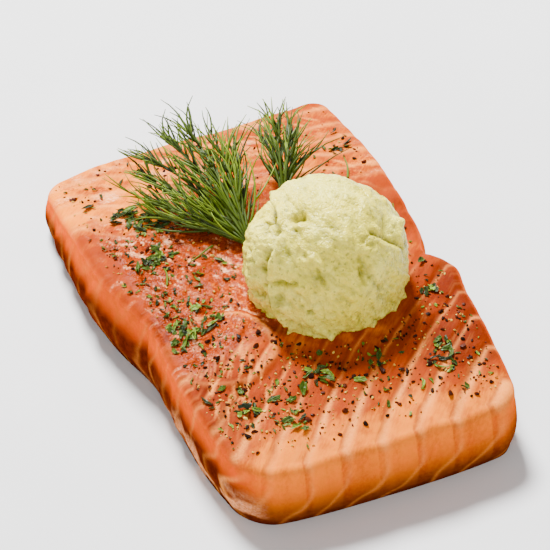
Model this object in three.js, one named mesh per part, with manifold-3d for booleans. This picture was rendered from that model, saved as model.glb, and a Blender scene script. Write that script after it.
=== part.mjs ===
// A raw salmon portion with a scoop of herb butter and two dill fronds on it.
// Sizes are in mm, +Z is up, +Y runs to the thin back edge.
// The origin is the middle of the flat underside.

import * as THREE from "three";
import { mergeVertices } from "three/addons/utils/BufferGeometryUtils.js";
import Module from "manifold-3d";

// Driving sizes of the portion.
const WIDTH = 74;
const LENGTH = 125;
const CROWN = 1.2;
const CLEARANCE = 0.4;

// Points closer than a hair count as one, and slivers thinner than the limit are smoothed out.
const HAIR = 1e-4;
const SLIVER = 0.01;

// Curves as [place, value] knots: the cut edges give x along y, the two ends give y along x.
const LEFT_EDGE = [
  [-62, -33],
  [-42, -35.2],
  [-23, -34.9],
  [-7, -34.2],
  [9, -37],
  [19, -37.9],
  [35, -37.3],
  [60, -35],
];
const RIGHT_EDGE = [
  [-62, 34.6],
  [-42, 36],
  [-24, 37.4],
  [-17.5, 38.1],
  [-10, 33.4],
  [-2, 35.6],
  [27, 37.3],
  [46, 37.7],
  [61, 38],
];
const FRONT_EDGE = [[-37, -58.5], [-20, -61.6], [2, -62.5], [20, -62.2], [37, -60.4]];
const BACK_EDGE = [[-37, 60], [-20, 62.4], [0, 62], [14, 61.5], [26, 62.6], [37, 64.5]];
const THICKNESS = [
  [-62, 15.6],
  [-52, 18],
  [-40, 19.2],
  [-18, 19.8],
  [2, 20],
  [20, 19.4],
  [34, 17.6],
  [46, 14.4],
  [64, 9.6],
];

// Rounding of the vertical corners and of the crest, by side.
const CORNER_RADIUS = { frontLeft: 7.5, frontRight: 5, backLeft: 4, backRight: 3 };
const CREST_INSET = 2.4;
const CREST_DROP = { left: 2.2, right: 1.6, front: 2.6, back: 2 };
const FOOT_INSET = 1.2;
const FOOT_START = 0.6;

// Flakes of the flesh: bands between the fat lines of the top face.
// One line meets the front end at x = start. They lean a little more over the first curlReach mm.
const FLAKES = {
  spacing: 9.2,
  start: -1.8,
  relief: 0.35,
  lean: 0.78,
  curl: 0.004,
  curlReach: 45,
  backShare: 0.4,
};
const UNEVEN = { across: 0.31, acrossShift: 1.3, along: 0.23, alongShift: 0.4 };

// Bands of the cut faces, which bend back at mid height, and the bulge that carries them.
const FACE = { flake: 8.5, relief: 0.4, bend: 7, bendAt: 0.45, bulge: 0.9, swing: 0.5, swingTurn: 0.05 };
const SEAM = { y: -5, width: 1.6, depth: 0.9 };
const LOBE = { x: -22, y: -21, radius: 12.6, rise: 0.9, edge: 1.2, fade: [-16, 2] };

// The grid that carries the shell.
const ACROSS_CELLS = 25;
const ALONG_CELLS = 43;
const CREST_ROWS = 3;
const FACE_ROWS = 4;

// The scoop of butter, and the level ring that it rests in.
const SCOOP = { x: 8, y: -11, radius: 18.8, lift: 8, ring: 5, detail: 8 };

// Smooth curve through its knots, level past both ends.
function curveAt(knots, place) {
  const last = knots.length - 1;
  const t = THREE.MathUtils.clamp(place, knots[0][0], knots[last][0]);
  let i = 0;
  while (i < last - 1 && t > knots[i + 1][0]) i += 1;
  const slope = (k) => {
    const before = knots[Math.max(k - 1, 0)];
    const after = knots[Math.min(k + 1, last)];
    return (after[1] - before[1]) / (after[0] - before[0]);
  };
  const span = knots[i + 1][0] - knots[i][0];
  const s = (t - knots[i][0]) / span;
  const rise = knots[i + 1][1] - knots[i][1];
  const m = slope(i) * span;
  const n = slope(i + 1) * span;
  return knots[i][1] + s * (m + s * (3 * rise - 2 * m - n + s * (m + n - 2 * rise)));
}

// Rises smoothly from 0 at start to 1 at end.
function ease(start, end, value) {
  const t = THREE.MathUtils.clamp((value - start) / (end - start), 0, 1);
  return t * t * (3 - 2 * t);
}

// Seeded random numbers, so each run gives the same part.
function randomFrom(seed) {
  let state = seed;
  return () => {
    state = (state * 1664525 + 1013904223) % 4294967296;
    return state / 4294967296;
  };
}

// Position across the flakes: it grows by 1 from one fat line to the next.
function flakePhase(x, y) {
  const forward = Math.max(0, y + LENGTH / 2);
  const curled = Math.min(forward, FLAKES.curlReach);
  const sweep = FLAKES.lean * forward + FLAKES.curl * curled * (2 * forward - curled);
  return (x - FLAKES.start - sweep) / FLAKES.spacing;
}

// Low ridges of the flakes, level under the scoop and lower towards the back end.
function flakeRelief(x, y) {
  const toScoop = Math.hypot(x - SCOOP.x, y - SCOOP.y);
  const open = ease(SCOOP.radius, SCOOP.radius + SCOOP.ring, toScoop);
  const groove = Math.pow(0.5 + 0.5 * Math.cos(2 * Math.PI * flakePhase(x, y)), 3);
  const across = Math.sin(x * UNEVEN.across + UNEVEN.acrossShift);
  const uneven = across * Math.sin(y * UNEVEN.along + UNEVEN.alongShift);
  const share = THREE.MathUtils.lerp(1, FLAKES.backShare, ease(0, LENGTH / 3, y));
  return open * FLAKES.relief * share * (uneven - groove);
}

// The front-left flake stands a little over the flesh behind it.
function lobeRise(x, y) {
  const out = Math.hypot(x - LOBE.x, y - LOBE.y) - LOBE.radius;
  const inside = 1 - ease(-LOBE.edge, LOBE.edge, out);
  return LOBE.rise * inside * ease(-LOBE.radius * 2, 0, out) * ease(...LOBE.fade, x - LOBE.x);
}

// Height of the top face.
function topHeight(x, y) {
  const across = (2 * x) / WIDTH;
  const crown = CROWN * (0.5 - across * across);
  return curveAt(THICKNESS, y) + crown + flakeRelief(x, y) + lobeRise(x, y);
}

// Rounds the corners of the square -1..1 grid, each by its own radius.
function roundedGrid(u, v) {
  const side = u < 0 ? "Left" : "Right";
  const radius = CORNER_RADIUS[(v < 0 ? "front" : "back") + side];
  const p = (Math.abs(u) * WIDTH) / 2 - (WIDTH / 2 - radius);
  const q = (Math.abs(v) * LENGTH) / 2 - (LENGTH / 2 - radius);
  if (p <= 0 || q <= 0) return [u, v];
  const a = p / radius;
  const b = q / radius;
  const x = WIDTH / 2 - radius + p * Math.sqrt(1 - (b * b) / 2);
  const y = LENGTH / 2 - radius + q * Math.sqrt(1 - (a * a) / 2);
  return [(Math.sign(u) * 2 * x) / WIDTH, (Math.sign(v) * 2 * y) / LENGTH];
}

// Place of a grid point in plan, inside the outline by the crest's inset.
function planPoint(column, row) {
  const [u, v] = roundedGrid((2 * column) / ACROSS_CELLS - 1, (2 * row) / ALONG_CELLS - 1);
  const yGuess = (v * LENGTH) / 2;
  const left = curveAt(LEFT_EDGE, yGuess) + CREST_INSET;
  const right = curveAt(RIGHT_EDGE, yGuess) - CREST_INSET;
  const x = left + ((right - left) * (u + 1)) / 2;
  const front = curveAt(FRONT_EDGE, x) + CREST_INSET;
  const back = curveAt(BACK_EDGE, x) - CREST_INSET;
  return [x, front + ((back - front) * (v + 1)) / 2];
}

// Grid points around the rim, anticlockwise seen from above.
function rimLoop() {
  const loop = [];
  for (let i = 0; i < ACROSS_CELLS; i += 1) loop.push([i, 0]);
  for (let j = 0; j < ALONG_CELLS; j += 1) loop.push([ACROSS_CELLS, j]);
  for (let i = ACROSS_CELLS; i > 0; i -= 1) loop.push([i, ALONG_CELLS]);
  for (let j = ALONG_CELLS; j > 0; j -= 1) loop.push([0, j]);
  return loop;
}

// Drop of the crest for a rim point whose outward direction is nx, ny.
function crestDrop(nx, ny) {
  const ends = ny < 0 ? CREST_DROP.front : CREST_DROP.back;
  const sides = nx < 0 ? CREST_DROP.left : CREST_DROP.right;
  return ny * ny * ends + nx * nx * sides;
}

// How far a face stands out at depth w, from 0 at the crest to 1 at the base.
function faceRelief(x, y, w, nx) {
  const belly = Math.sin(Math.PI * w);
  const bend = FACE.bend * Math.abs(w - FACE.bendAt);
  const place = (2 * Math.PI * (y + bend)) / FACE.flake;
  const flakes = FACE.relief * Math.sin(place) * (0.55 + 0.45 * Math.sin(0.37 * place + 2));
  const onLeft = nx < -0.5;
  const seam = onLeft ? SEAM.depth * Math.exp(-(((y - SEAM.y) / SEAM.width) ** 2)) : 0;
  const bulge = FACE.bulge + FACE.swing * Math.sin(FACE.swingTurn * y + 0.6);
  return belly * (bulge + flakes * Math.abs(nx) - seam);
}

// The bare portion as a closed shell: top grid, rounded crest, faces and flat base.
function portionShell() {
  const positions = [];
  const faces = [];
  const add = (x, y, z) => positions.push(x, y, z) / 3 - 1;
  const rowSize = ACROSS_CELLS + 1;
  for (let j = 0; j <= ALONG_CELLS; j += 1) {
    for (let i = 0; i <= ACROSS_CELLS; i += 1) {
      const [x, y] = planPoint(i, j);
      add(x, y, topHeight(x, y));
    }
  }
  for (let j = 0; j < ALONG_CELLS; j += 1) {
    for (let i = 0; i < ACROSS_CELLS; i += 1) {
      const a = j * rowSize + i;
      const b = a + rowSize;
      faces.push(a, a + 1, b + 1, a, b + 1, b);
    }
  }

  const loop = rimLoop();
  const plan = loop.map(([i, j]) => planPoint(i, j));
  const count = loop.length;
  const normals = plan.map((_, k) => {
    const before = plan[(k + count - 1) % count];
    const after = plan[(k + 1) % count];
    const run = Math.hypot(after[0] - before[0], after[1] - before[1]);
    return [(after[1] - before[1]) / run, (before[0] - after[0]) / run];
  });
  const joinRing = (outer, inner) => {
    for (let k = 0; k < count; k += 1) {
      const next = (k + 1) % count;
      faces.push(inner[k], outer[k], outer[next], inner[k], outer[next], inner[next]);
    }
  };
  const addRing = (place) => plan.map(([x, y], k) => {
    const [out, z] = place(k, normals[k][0], normals[k][1], topHeight(x, y));
    return add(x + normals[k][0] * out, y + normals[k][1] * out, z);
  });

  let ring = loop.map(([i, j]) => j * rowSize + i);
  for (let r = 1; r <= CREST_ROWS; r += 1) {
    const turn = (Math.PI / 2) * (r / CREST_ROWS);
    const next = addRing((k, nx, ny, top) => [
      CREST_INSET * Math.sin(turn),
      top - crestDrop(nx, ny) * (1 - Math.cos(turn)),
    ]);
    joinRing(next, ring);
    ring = next;
  }
  for (let r = 1; r <= FACE_ROWS; r += 1) {
    const w = r / FACE_ROWS;
    const tuck = FOOT_INSET * ease(FOOT_START, 1, w);
    const next = addRing((k, nx, ny, top) => [
      CREST_INSET + faceRelief(plan[k][0], plan[k][1], w, nx) - tuck,
      (top - crestDrop(nx, ny)) * (1 - w),
    ]);
    joinRing(next, ring);
    ring = next;
  }
  const outline = ring.map((k) => new THREE.Vector2(positions[3 * k], positions[3 * k + 1]));
  for (const [a, b, c] of THREE.ShapeUtils.triangulateShape(outline, [])) {
    faces.push(ring[a], ring[c], ring[b]);
  }
  return indexedGeometry(positions, faces);
}

function indexedGeometry(positions, faces) {
  const geometry = new THREE.BufferGeometry();
  geometry.setAttribute("position", new THREE.Float32BufferAttribute(positions, 3));
  geometry.setIndex(faces);
  return geometry;
}

// Herb flakes: clusters as [x, y, spread, count], then single ones by a seeded rule.
const HERB_CLUSTERS = [
  [-24, 33.5, 3.2, 9],
  [-20.5, 27.5, 3.6, 10],
  [-22, 15.5, 3, 6],
  [-27, 13.5, 2.5, 3],
  [-28.2, -13, 3.8, 13],
  [-20, -11.5, 1.8, 2],
  [-21.5, -6, 1.5, 1],
  [27.5, -21.5, 3.2, 6],
  [23.5, -39.5, 2, 3],
  [8, -37.5, 2.5, 2],
  [21.5, -45, 2.5, 3],
  [-6, -38, 3.4, 4],
  [-16, -49, 2.5, 4],
  [-24.5, -43, 2.5, 3],
  [31, 37, 2.5, 3],
];
const LOOSE_HERBS = 20;
const PEPPER_GRAINS = 40;
const HERB_LENGTH = [2, 4.2];
const HERB_WIDTH = [0.9, 1.7];
const HERB_THICKNESS = 0.55;
const HERB_CURL = 0.5;
const HERB_TAPER = 0.45;
const HERB_LIFT = 0.12;
const PEPPER_RADIUS = [0.55, 0.85];
const PEPPER_LIFT = 0.15;
const PEPPER_HEIGHT = 0.8;
const TOPPING_HEIGHT = 1;

// Room kept round the scoop and behind the front edge, and where the loose toppings start to thin out.
const SCOOP_GAP = 1.8;
const FRONT_GAP = 3;
const FRONT_PART_END = -16;
const LOOSE_REACH = 58;
const TRIES_FOR_EACH = 40;

// True where a topping of the given reach is clear of the scoop and of the crest.
function freeSpot(x, y, reach) {
  const toScoop = Math.hypot(x - SCOOP.x, y - SCOOP.y);
  if (toScoop < SCOOP.radius + SCOOP_GAP + reach) return false;
  const edge = CREST_INSET + 0.3 * reach;
  if (x < curveAt(LEFT_EDGE, y) + edge || x > curveAt(RIGHT_EDGE, y) - edge) return false;
  return y > curveAt(FRONT_EDGE, x) + edge + FRONT_GAP && y < curveAt(BACK_EDGE, x) - edge;
}

// One bent flake of chopped herb: a strip of lens-shaped sections.
function herbFlake(x, y, random) {
  const length = THREE.MathUtils.lerp(HERB_LENGTH[0], HERB_LENGTH[1], random());
  const width = THREE.MathUtils.lerp(HERB_WIDTH[0], HERB_WIDTH[1], random());
  const heading = Math.PI * random();
  const curl = HERB_CURL * (random() - 0.5);
  const positions = [];
  const faces = [];
  for (let s = -1; s <= 1; s += 1) {
    const turn = heading + curl * s;
    const cx = x + (s * length * Math.cos(turn)) / 2;
    const cy = y + (s * length * Math.sin(turn)) / 2;
    const half = (width / 2) * (1 - HERB_TAPER * s * s);
    const sideX = -Math.sin(turn) * half;
    const sideY = Math.cos(turn) * half;
    const z = topHeight(cx, cy) + HERB_LIFT;
    positions.push(cx + sideX, cy + sideY, z);
    positions.push(cx, cy, z + HERB_THICKNESS * (0.75 + 0.25 * random()));
    positions.push(cx - sideX, cy - sideY, z);
    positions.push(cx, cy, z - HERB_THICKNESS);
  }
  for (let s = 0; s < 2; s += 1) {
    for (let k = 0; k < 4; k += 1) {
      const a = 4 * s + k;
      const b = 4 * s + ((k + 1) % 4);
      faces.push(a, b + 4, b, a, a + 4, b + 4);
    }
  }
  faces.push(0, 1, 2, 0, 2, 3, 8, 10, 9, 8, 11, 10);
  return indexedGeometry(positions, faces);
}

// One cracked peppercorn bit, half sunk.
function pepperBit(x, y, random) {
  const radius = THREE.MathUtils.lerp(PEPPER_RADIUS[0], PEPPER_RADIUS[1], random());
  const bit = new THREE.OctahedronGeometry(radius);
  bit.scale(1 + 0.3 * random(), PEPPER_HEIGHT + 0.3 * random(), PEPPER_HEIGHT);
  bit.rotateX(random());
  bit.rotateZ(Math.PI * random());
  bit.translate(x, y, topHeight(x, y) + PEPPER_LIFT);
  return bit;
}

function scatterToppings() {
  const random = randomFrom(7);
  const toppings = [];
  for (const [cx, cy, spread, count] of HERB_CLUSTERS) {
    for (let n = 0; n < count; n += 1) {
      const angle = 2 * Math.PI * random();
      const reach = spread * Math.sqrt((n + 0.5) / count);
      const x = cx + reach * Math.cos(angle);
      const y = cy + reach * Math.sin(angle);
      if (freeSpot(x, y, 2)) toppings.push(herbFlake(x, y, random));
    }
  }
  const loose = (count, reach, frontShare, make) => {
    let left = count;
    for (let tries = 0; left > 0 && tries < TRIES_FOR_EACH * count; tries += 1) {
      const x = (random() - 0.5) * WIDTH;
      const far = random() < frontShare ? -LOOSE_REACH : LOOSE_REACH;
      const y = THREE.MathUtils.lerp(FRONT_PART_END, far, random());
      if (!freeSpot(x, y, reach)) continue;
      toppings.push(make(x, y, random));
      left -= 1;
    }
  };
  loose(LOOSE_HERBS, 2, 0.5, herbFlake);
  loose(PEPPER_GRAINS, 1, 0.7, pepperBit);
  return toppings;
}

// Marks on the scoop: azimuth and elevation in degrees, spread in degrees, depth in mm outwards.
const SCOOP_MARKS = [
  { azimuth: -28, elevation: 26, spread: 9, depth: 1 },
  { azimuth: -38, elevation: 38, spread: 7, depth: -1.1 },
  { azimuth: -159, elevation: 66, spread: 10, depth: -1.1 },
  { azimuth: -143, elevation: 58, spread: 8, depth: 0.5 },
  { azimuth: -166, elevation: 46, spread: 8, depth: -0.8 },
  { azimuth: -158, elevation: 30, spread: 14, depth: 0.8 },
  { azimuth: -146, elevation: 16, spread: 9, depth: -1 },
  { azimuth: 162, elevation: 46, spread: 12, depth: -0.6 },
  { azimuth: -82, elevation: 20, spread: 7, depth: -0.4 },
  { azimuth: 60, elevation: 35, spread: 16, depth: 0.7 },
  { azimuth: 100, elevation: 20, spread: 10, depth: -0.9 },
  { azimuth: 25, elevation: 50, spread: 12, depth: -0.5 },
];
const SKIRT = { height: 3.5, flare: 1.1, waves: 9, ripples: 23, from: [0.7, 0.9] };
const FACETS = { depth: 0.45, across: 5, along: 6, up: 5 };

function directionOf(azimuth, elevation) {
  const a = THREE.MathUtils.degToRad(azimuth);
  const e = THREE.MathUtils.degToRad(elevation);
  return new THREE.Vector3(Math.cos(a) * Math.cos(e), Math.sin(a) * Math.cos(e), Math.sin(e));
}

// Radius of the scoop in a unit direction: soft facets and the marks.
function scoopRadius(direction) {
  let radius = SCOOP.radius;
  for (const mark of SCOOP_MARKS) {
    const away = direction.angleTo(directionOf(mark.azimuth, mark.elevation));
    const t = away / THREE.MathUtils.degToRad(mark.spread);
    radius += mark.depth * Math.exp(-t * t);
  }
  const around = Math.sin(FACETS.across * direction.x + 2) * Math.sin(FACETS.along * direction.y + 1);
  return radius + FACETS.depth * around * Math.cos(FACETS.up * direction.z);
}

// The scoop: a ragged ball whose foot follows the flesh under it.
function scoopGeometry() {
  const ball = new THREE.IcosahedronGeometry(1, SCOOP.detail);
  ball.deleteAttribute("normal");
  ball.deleteAttribute("uv");
  const geometry = mergeVertices(ball, HAIR);
  const spot = geometry.attributes.position;
  const direction = new THREE.Vector3();
  const centreZ = topHeight(SCOOP.x, SCOOP.y) + SCOOP.lift;
  for (let k = 0; k < spot.count; k += 1) {
    direction.fromBufferAttribute(spot, k).normalize();
    const radius = scoopRadius(direction);
    const around = Math.atan2(direction.y, direction.x);
    const low = 1 - ease(-SCOOP.lift, -SCOOP.lift + SKIRT.height, radius * direction.z);
    const ragged = 0.5 + 0.3 * Math.sin(SKIRT.waves * around + 1) + 0.2 * Math.sin(SKIRT.ripples * around);
    const flat = Math.hypot(direction.x, direction.y);
    const flare = SKIRT.flare * ragged * low * ease(...SKIRT.from, flat);
    const x = SCOOP.x + direction.x * (radius + flare);
    const y = SCOOP.y + direction.y * (radius + flare);
    const floor = topHeight(x, y) + CLEARANCE;
    spot.setXYZ(k, x, y, Math.max(centreZ + direction.z * radius, floor));
  }
  return geometry;
}

// Dill fronds: stems fan out from a root beside the scoop, with threads along both sides.
// heading is degrees from +X, reach and rise are mm, threads is the count on each stem.
const FRONDS = [
  {
    name: "dill_frond_left",
    root: [-3.3, 7.6],
    rootLift: 1.8,
    seed: 11,
    stems: [
      { heading: 128, reach: 26, rise: 0.5, threads: 10 },
      { heading: 121, reach: 32, rise: 1.5, threads: 12 },
      { heading: 114, reach: 34, rise: 4, threads: 12 },
      { heading: 107, reach: 36, rise: 7, threads: 12 },
      { heading: 99, reach: 37, rise: 10, threads: 12 },
      { heading: 91, reach: 37, rise: 11.5, threads: 12 },
      { heading: 83, reach: 34, rise: 11.5, threads: 11 },
      { heading: 75, reach: 29, rise: 8, threads: 9 },
    ],
  },
  {
    name: "dill_frond_right",
    root: [9.6, 18.2],
    rootLift: 3,
    seed: 23,
    stems: [
      { heading: 82, reach: 17, rise: 6, threads: 7 },
      { heading: 72, reach: 19, rise: 10, threads: 8 },
      { heading: 60, reach: 16, rise: 8, threads: 7 },
      { heading: 47, reach: 12, rise: 4, threads: 5 },
    ],
  },
];
const STEM_RADIUS = 0.6;
const THREAD_RADIUS = 0.36;
const THREAD_LENGTH = [7, 12];
const THREAD_SPLAY = 18;
const FIRST_THREAD = 0.12;
const THREAD_SPAN = 0.86;
const THREAD_LIFT = [-0.12, 0.38];

// Room that the dill keeps from the scoop, and from the back edge.
const DILL_GAP = 0.6;
const STEM_GAP = 0.9;
const THREAD_GAP = 0.3;
const EDGE_GAP = 2;

// A tapered three-sided spike through its points, pointed at its end.
function spike(points, radius) {
  const positions = [];
  const faces = [];
  const last = points.length - 1;
  const forward = new THREE.Vector3();
  const side = new THREE.Vector3();
  const up = new THREE.Vector3();
  for (let k = 0; k < last; k += 1) {
    forward.subVectors(points[k + 1], points[Math.max(k - 1, 0)]).normalize();
    side.crossVectors(new THREE.Vector3(0, 0, 1), forward).normalize();
    up.crossVectors(forward, side);
    const r = radius * (1 - 0.45 * (k / last));
    for (let n = 0; n < 3; n += 1) {
      const turn = (2 * Math.PI * n) / 3 + Math.PI / 2;
      const corner = points[k].clone();
      corner.addScaledVector(side, r * Math.cos(turn));
      corner.addScaledVector(up, r * Math.sin(turn));
      positions.push(...corner.toArray());
    }
  }
  positions.push(...points[last].toArray());
  for (let k = 0; k < last - 1; k += 1) {
    for (let n = 0; n < 3; n += 1) {
      const a = 3 * k + n;
      const b = 3 * k + ((n + 1) % 3);
      faces.push(a, b, b + 3, a, b + 3, a + 3);
    }
  }
  const foot = 3 * (last - 1);
  for (let n = 0; n < 3; n += 1) faces.push(foot + n, foot + ((n + 1) % 3), 3 * last);
  faces.push(0, 2, 1);
  return indexedGeometry(positions, faces);
}

// Keeps a point of the dill clear of the flesh and of the scoop.
function clearOfFood(point, gap) {
  const centre = new THREE.Vector3(SCOOP.x, SCOOP.y, topHeight(SCOOP.x, SCOOP.y) + SCOOP.lift);
  const away = point.clone().sub(centre);
  const reach = SCOOP.radius + SKIRT.flare + DILL_GAP + gap;
  if (away.length() < reach) point.copy(centre).addScaledVector(away.normalize(), reach);
  const x = THREE.MathUtils.clamp(point.x, -WIDTH / 2, WIDTH / 2);
  const y = Math.min(point.y, curveAt(BACK_EDGE, x) - EDGE_GAP);
  point.z = Math.max(point.z, topHeight(x, y) + TOPPING_HEIGHT + gap);
  return point;
}

// Point of a stem at share t of its reach: it rises over the flesh and sags a little at its tip.
function stemPoint(frond, stem, t) {
  const a = THREE.MathUtils.degToRad(stem.heading);
  const x = frond.root[0] + stem.reach * t * Math.cos(a);
  const y = frond.root[1] + stem.reach * t * Math.sin(a);
  const base = topHeight(...frond.root) + frond.rootLift;
  const drop = topHeight(...frond.root) - topHeight(x, Math.min(y, LENGTH / 2 - EDGE_GAP));
  const z = base - drop * t * t + stem.rise * t * (1.6 - 0.6 * t);
  return clearOfFood(new THREE.Vector3(x, y, z), STEM_GAP);
}

function stemSpike(frond, stem) {
  const points = [0, 0.25, 0.5, 0.75, 1].map((t) => stemPoint(frond, stem, t));
  return spike(points, STEM_RADIUS);
}

// One thread: it leaves the stem at a slant and bends towards the stem's own heading.
function threadSpike(frond, stem, index, random) {
  const t = FIRST_THREAD + (THREAD_SPAN * (index + 0.5)) / stem.threads;
  const start = stemPoint(frond, stem, t);
  const side = index % 2 ? 1 : -1;
  const length = THREE.MathUtils.lerp(THREAD_LENGTH[0], THREAD_LENGTH[1], random()) * (1.1 - 0.35 * t);
  const splay = side * THREAD_SPLAY * (0.6 + 0.7 * random());
  const lift = THREE.MathUtils.lerp(THREAD_LIFT[0], THREAD_LIFT[1], random());
  const points = [start];
  for (const share of [0.5, 1]) {
    const turn = THREE.MathUtils.degToRad(stem.heading + splay * (1 - 0.3 * share));
    const step = new THREE.Vector3(Math.cos(turn), Math.sin(turn), lift + 0.15 * share);
    const next = start.clone().addScaledVector(step.normalize(), length * share);
    points.push(clearOfFood(next, THREAD_GAP));
  }
  return spike(points, THREAD_RADIUS);
}

function frondPieces(frond) {
  const random = randomFrom(frond.seed);
  const pieces = frond.stems.map((stem) => stemSpike(frond, stem));
  for (const stem of frond.stems) {
    for (let n = 0; n < stem.threads; n += 1) pieces.push(threadSpike(frond, stem, n, random));
  }
  return pieces;
}

const wasm = await Module();
wasm.setup();

// A closed geometry as a solid that can be joined.
function solidOf(geometry) {
  geometry.deleteAttribute("normal");
  geometry.deleteAttribute("uv");
  const merged = mergeVertices(geometry, HAIR);
  return new wasm.Manifold(new wasm.Mesh({
    numProp: 3,
    vertProperties: merged.attributes.position.array,
    triVerts: new Uint32Array(merged.index.array),
  }));
}

function geometryOf(solid) {
  const mesh = solid.getMesh();
  return indexedGeometry(Array.from(mesh.vertProperties), Array.from(mesh.triVerts));
}

// True where each edge joins exactly two faces, once points closer than a hair are one.
function edgesPaired(geometry) {
  const spot = geometry.attributes.position.array;
  const corners = geometry.index.array;
  const ids = new Map();
  const idOf = (k) => {
    const key = [0, 1, 2].map((axis) => Math.round(spot[3 * k + axis] / HAIR)).join();
    if (!ids.has(key)) ids.set(key, ids.size);
    return ids.get(key);
  };
  const edges = new Set();
  for (let f = 0; f < corners.length; f += 3) {
    const [a, b, c] = [idOf(corners[f]), idOf(corners[f + 1]), idOf(corners[f + 2])];
    if (a === b || b === c || c === a) continue;
    for (const [from, to] of [[a, b], [b, c], [c, a]]) {
      if (edges.has(`${from} ${to}`)) return false;
      edges.add(`${from} ${to}`);
    }
  }
  return [...edges].every((edge) => edges.has(edge.split(" ").reverse().join(" ")));
}

// Joins the pieces to the first one, leaving out any that would only touch it along an edge.
// The largest body is kept, without loose scraps or sealed hollows.
function fused([core, ...pieces]) {
  let whole = solidOf(core);
  for (const piece of pieces) {
    const next = whole.add(solidOf(piece));
    if (edgesPaired(geometryOf(next))) whole = next;
  }
  const bodies = solidOf(geometryOf(whole)).simplify(SLIVER).decompose();
  return geometryOf(bodies.reduce((best, body) => (body.volume() > best.volume() ? body : best)));
}

function crosses(piece, other) {
  return solidOf(piece).intersect(solidOf(other)).volume() > 0;
}

const FLESH_MATERIAL = new THREE.MeshStandardMaterial({ color: 0xe37b45, roughness: 0.4, metalness: 0 });
const BUTTER_MATERIAL = new THREE.MeshStandardMaterial({ color: 0xd9d08f, roughness: 0.45, metalness: 0 });
const DILL_MATERIAL = new THREE.MeshStandardMaterial({ color: 0x5f7a22, roughness: 0.6, metalness: 0 });

function named(name, geometry, material) {
  const mesh = new THREE.Mesh(geometry, material);
  mesh.name = name;
  return mesh;
}

const group = new THREE.Group();
group.add(named("salmon_fillet", fused([portionShell(), ...scatterToppings()]), FLESH_MATERIAL));
group.add(named("pesto_butter", scoopGeometry(), BUTTER_MATERIAL));
let laid = [];
for (const frond of FRONDS) {
  const free = frondPieces(frond).filter((piece) => laid.every((other) => !crosses(piece, other)));
  const geometry = fused(free);
  laid = [...laid, geometry];
  group.add(named(frond.name, geometry, DILL_MATERIAL));
}

export default group;
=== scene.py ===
"""Raw salmon portion with a scoop of herb butter and dill, dressed over the fixed frame.

Shapes are worked out in mm, in the frame's own axes, and written to Blender in metres.
"""

import math

import bmesh
import bpy
import numpy as np
from mathutils import Matrix, Vector


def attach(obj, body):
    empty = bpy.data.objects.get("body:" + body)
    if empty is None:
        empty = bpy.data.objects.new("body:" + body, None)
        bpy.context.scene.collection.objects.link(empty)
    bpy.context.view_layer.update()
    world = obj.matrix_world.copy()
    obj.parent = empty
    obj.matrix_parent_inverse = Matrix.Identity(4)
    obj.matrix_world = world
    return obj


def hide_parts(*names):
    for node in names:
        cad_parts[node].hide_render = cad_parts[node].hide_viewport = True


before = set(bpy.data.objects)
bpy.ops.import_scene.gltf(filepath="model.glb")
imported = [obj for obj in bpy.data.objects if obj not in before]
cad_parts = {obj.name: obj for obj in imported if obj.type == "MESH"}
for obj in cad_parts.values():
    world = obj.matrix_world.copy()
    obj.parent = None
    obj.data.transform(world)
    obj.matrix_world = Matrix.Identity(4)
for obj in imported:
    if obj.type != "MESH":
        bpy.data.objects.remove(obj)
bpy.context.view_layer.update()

MM = 0.001

# Driving sizes of the portion, in mm, the same as those of the solids.
WIDTH = 74
LENGTH = 125
CROWN = 1.2

# Curves as (place, value) knots: the cut edges give x along y, the two ends give y along x.
LEFT_EDGE = [
    (-62, -33), (-42, -35.2), (-23, -34.9), (-7, -34.2), (9, -37), (19, -37.9), (35, -37.3),
    (60, -35),
]
RIGHT_EDGE = [
    (-62, 34.6), (-42, 36), (-24, 37.4), (-17.5, 38.1), (-10, 33.4), (-2, 35.6), (27, 37.3),
    (46, 37.7), (61, 38),
]
FRONT_EDGE = [(-37, -58.5), (-20, -61.6), (2, -62.5), (20, -62.2), (37, -60.4)]
BACK_EDGE = [(-37, 60), (-20, 62.4), (0, 62), (14, 61.5), (26, 62.6), (37, 64.5)]
THICKNESS = [
    (-62, 15.6), (-52, 18), (-40, 19.2), (-18, 19.8), (2, 20), (20, 19.4), (34, 17.6), (46, 14.4),
    (64, 9.6),
]
CORNER_RADIUS = {"front_left": 7.5, "front_right": 5, "back_left": 4, "back_right": 3}
CREST_INSET = 2.4
CREST_DROP = {"left": 2.2, "right": 1.6, "front": 2.6, "back": 2}
FOOT_INSET = 1.2
FOOT_START = 0.6

# Flakes of the top face: one fat line meets the front end at x = start, and they lean more behind it.
FLAKES = {"spacing": 9.2, "start": -1.8, "relief": 0.35, "lean": 0.78}
FLAKES |= {"curl": 0.004, "curl_reach": 45, "back_share": 0.4}
UNEVEN = {"across": 0.31, "across_shift": 1.3, "along": 0.23, "along_shift": 0.4}

# Bands of the cut faces, and how the faces belly out, more and less along y.
FACE = {"flake": 8.5, "relief": 0.4, "bend": 7, "bend_at": 0.45}
BELLY = {"bulge": 0.9, "swing": 0.5, "turn": 0.05}
SEAM = {"y": -5, "width": 1.6, "depth": 0.9}
LOBE = {"x": -22, "y": -21, "radius": 12.6, "rise": 0.9, "edge": 1.2, "fade": (-16, 2)}

# The scoop of butter.
SCOOP = {"x": 8, "y": -11, "radius": 18.8, "lift": 8, "ring": 5}
SKIRT = {"height": 3.5, "flare": 1.1, "waves": 9, "from": (0.7, 0.9)}
FACETS = {"depth": 0.45, "across": 5, "along": 6, "up": 5}

# Cells of the fine shell.
ACROSS_CELLS = 170
ALONG_CELLS = 286
CREST_ROWS = 8
CREST_SHINE = 6
FACE_ROWS = 26


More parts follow.
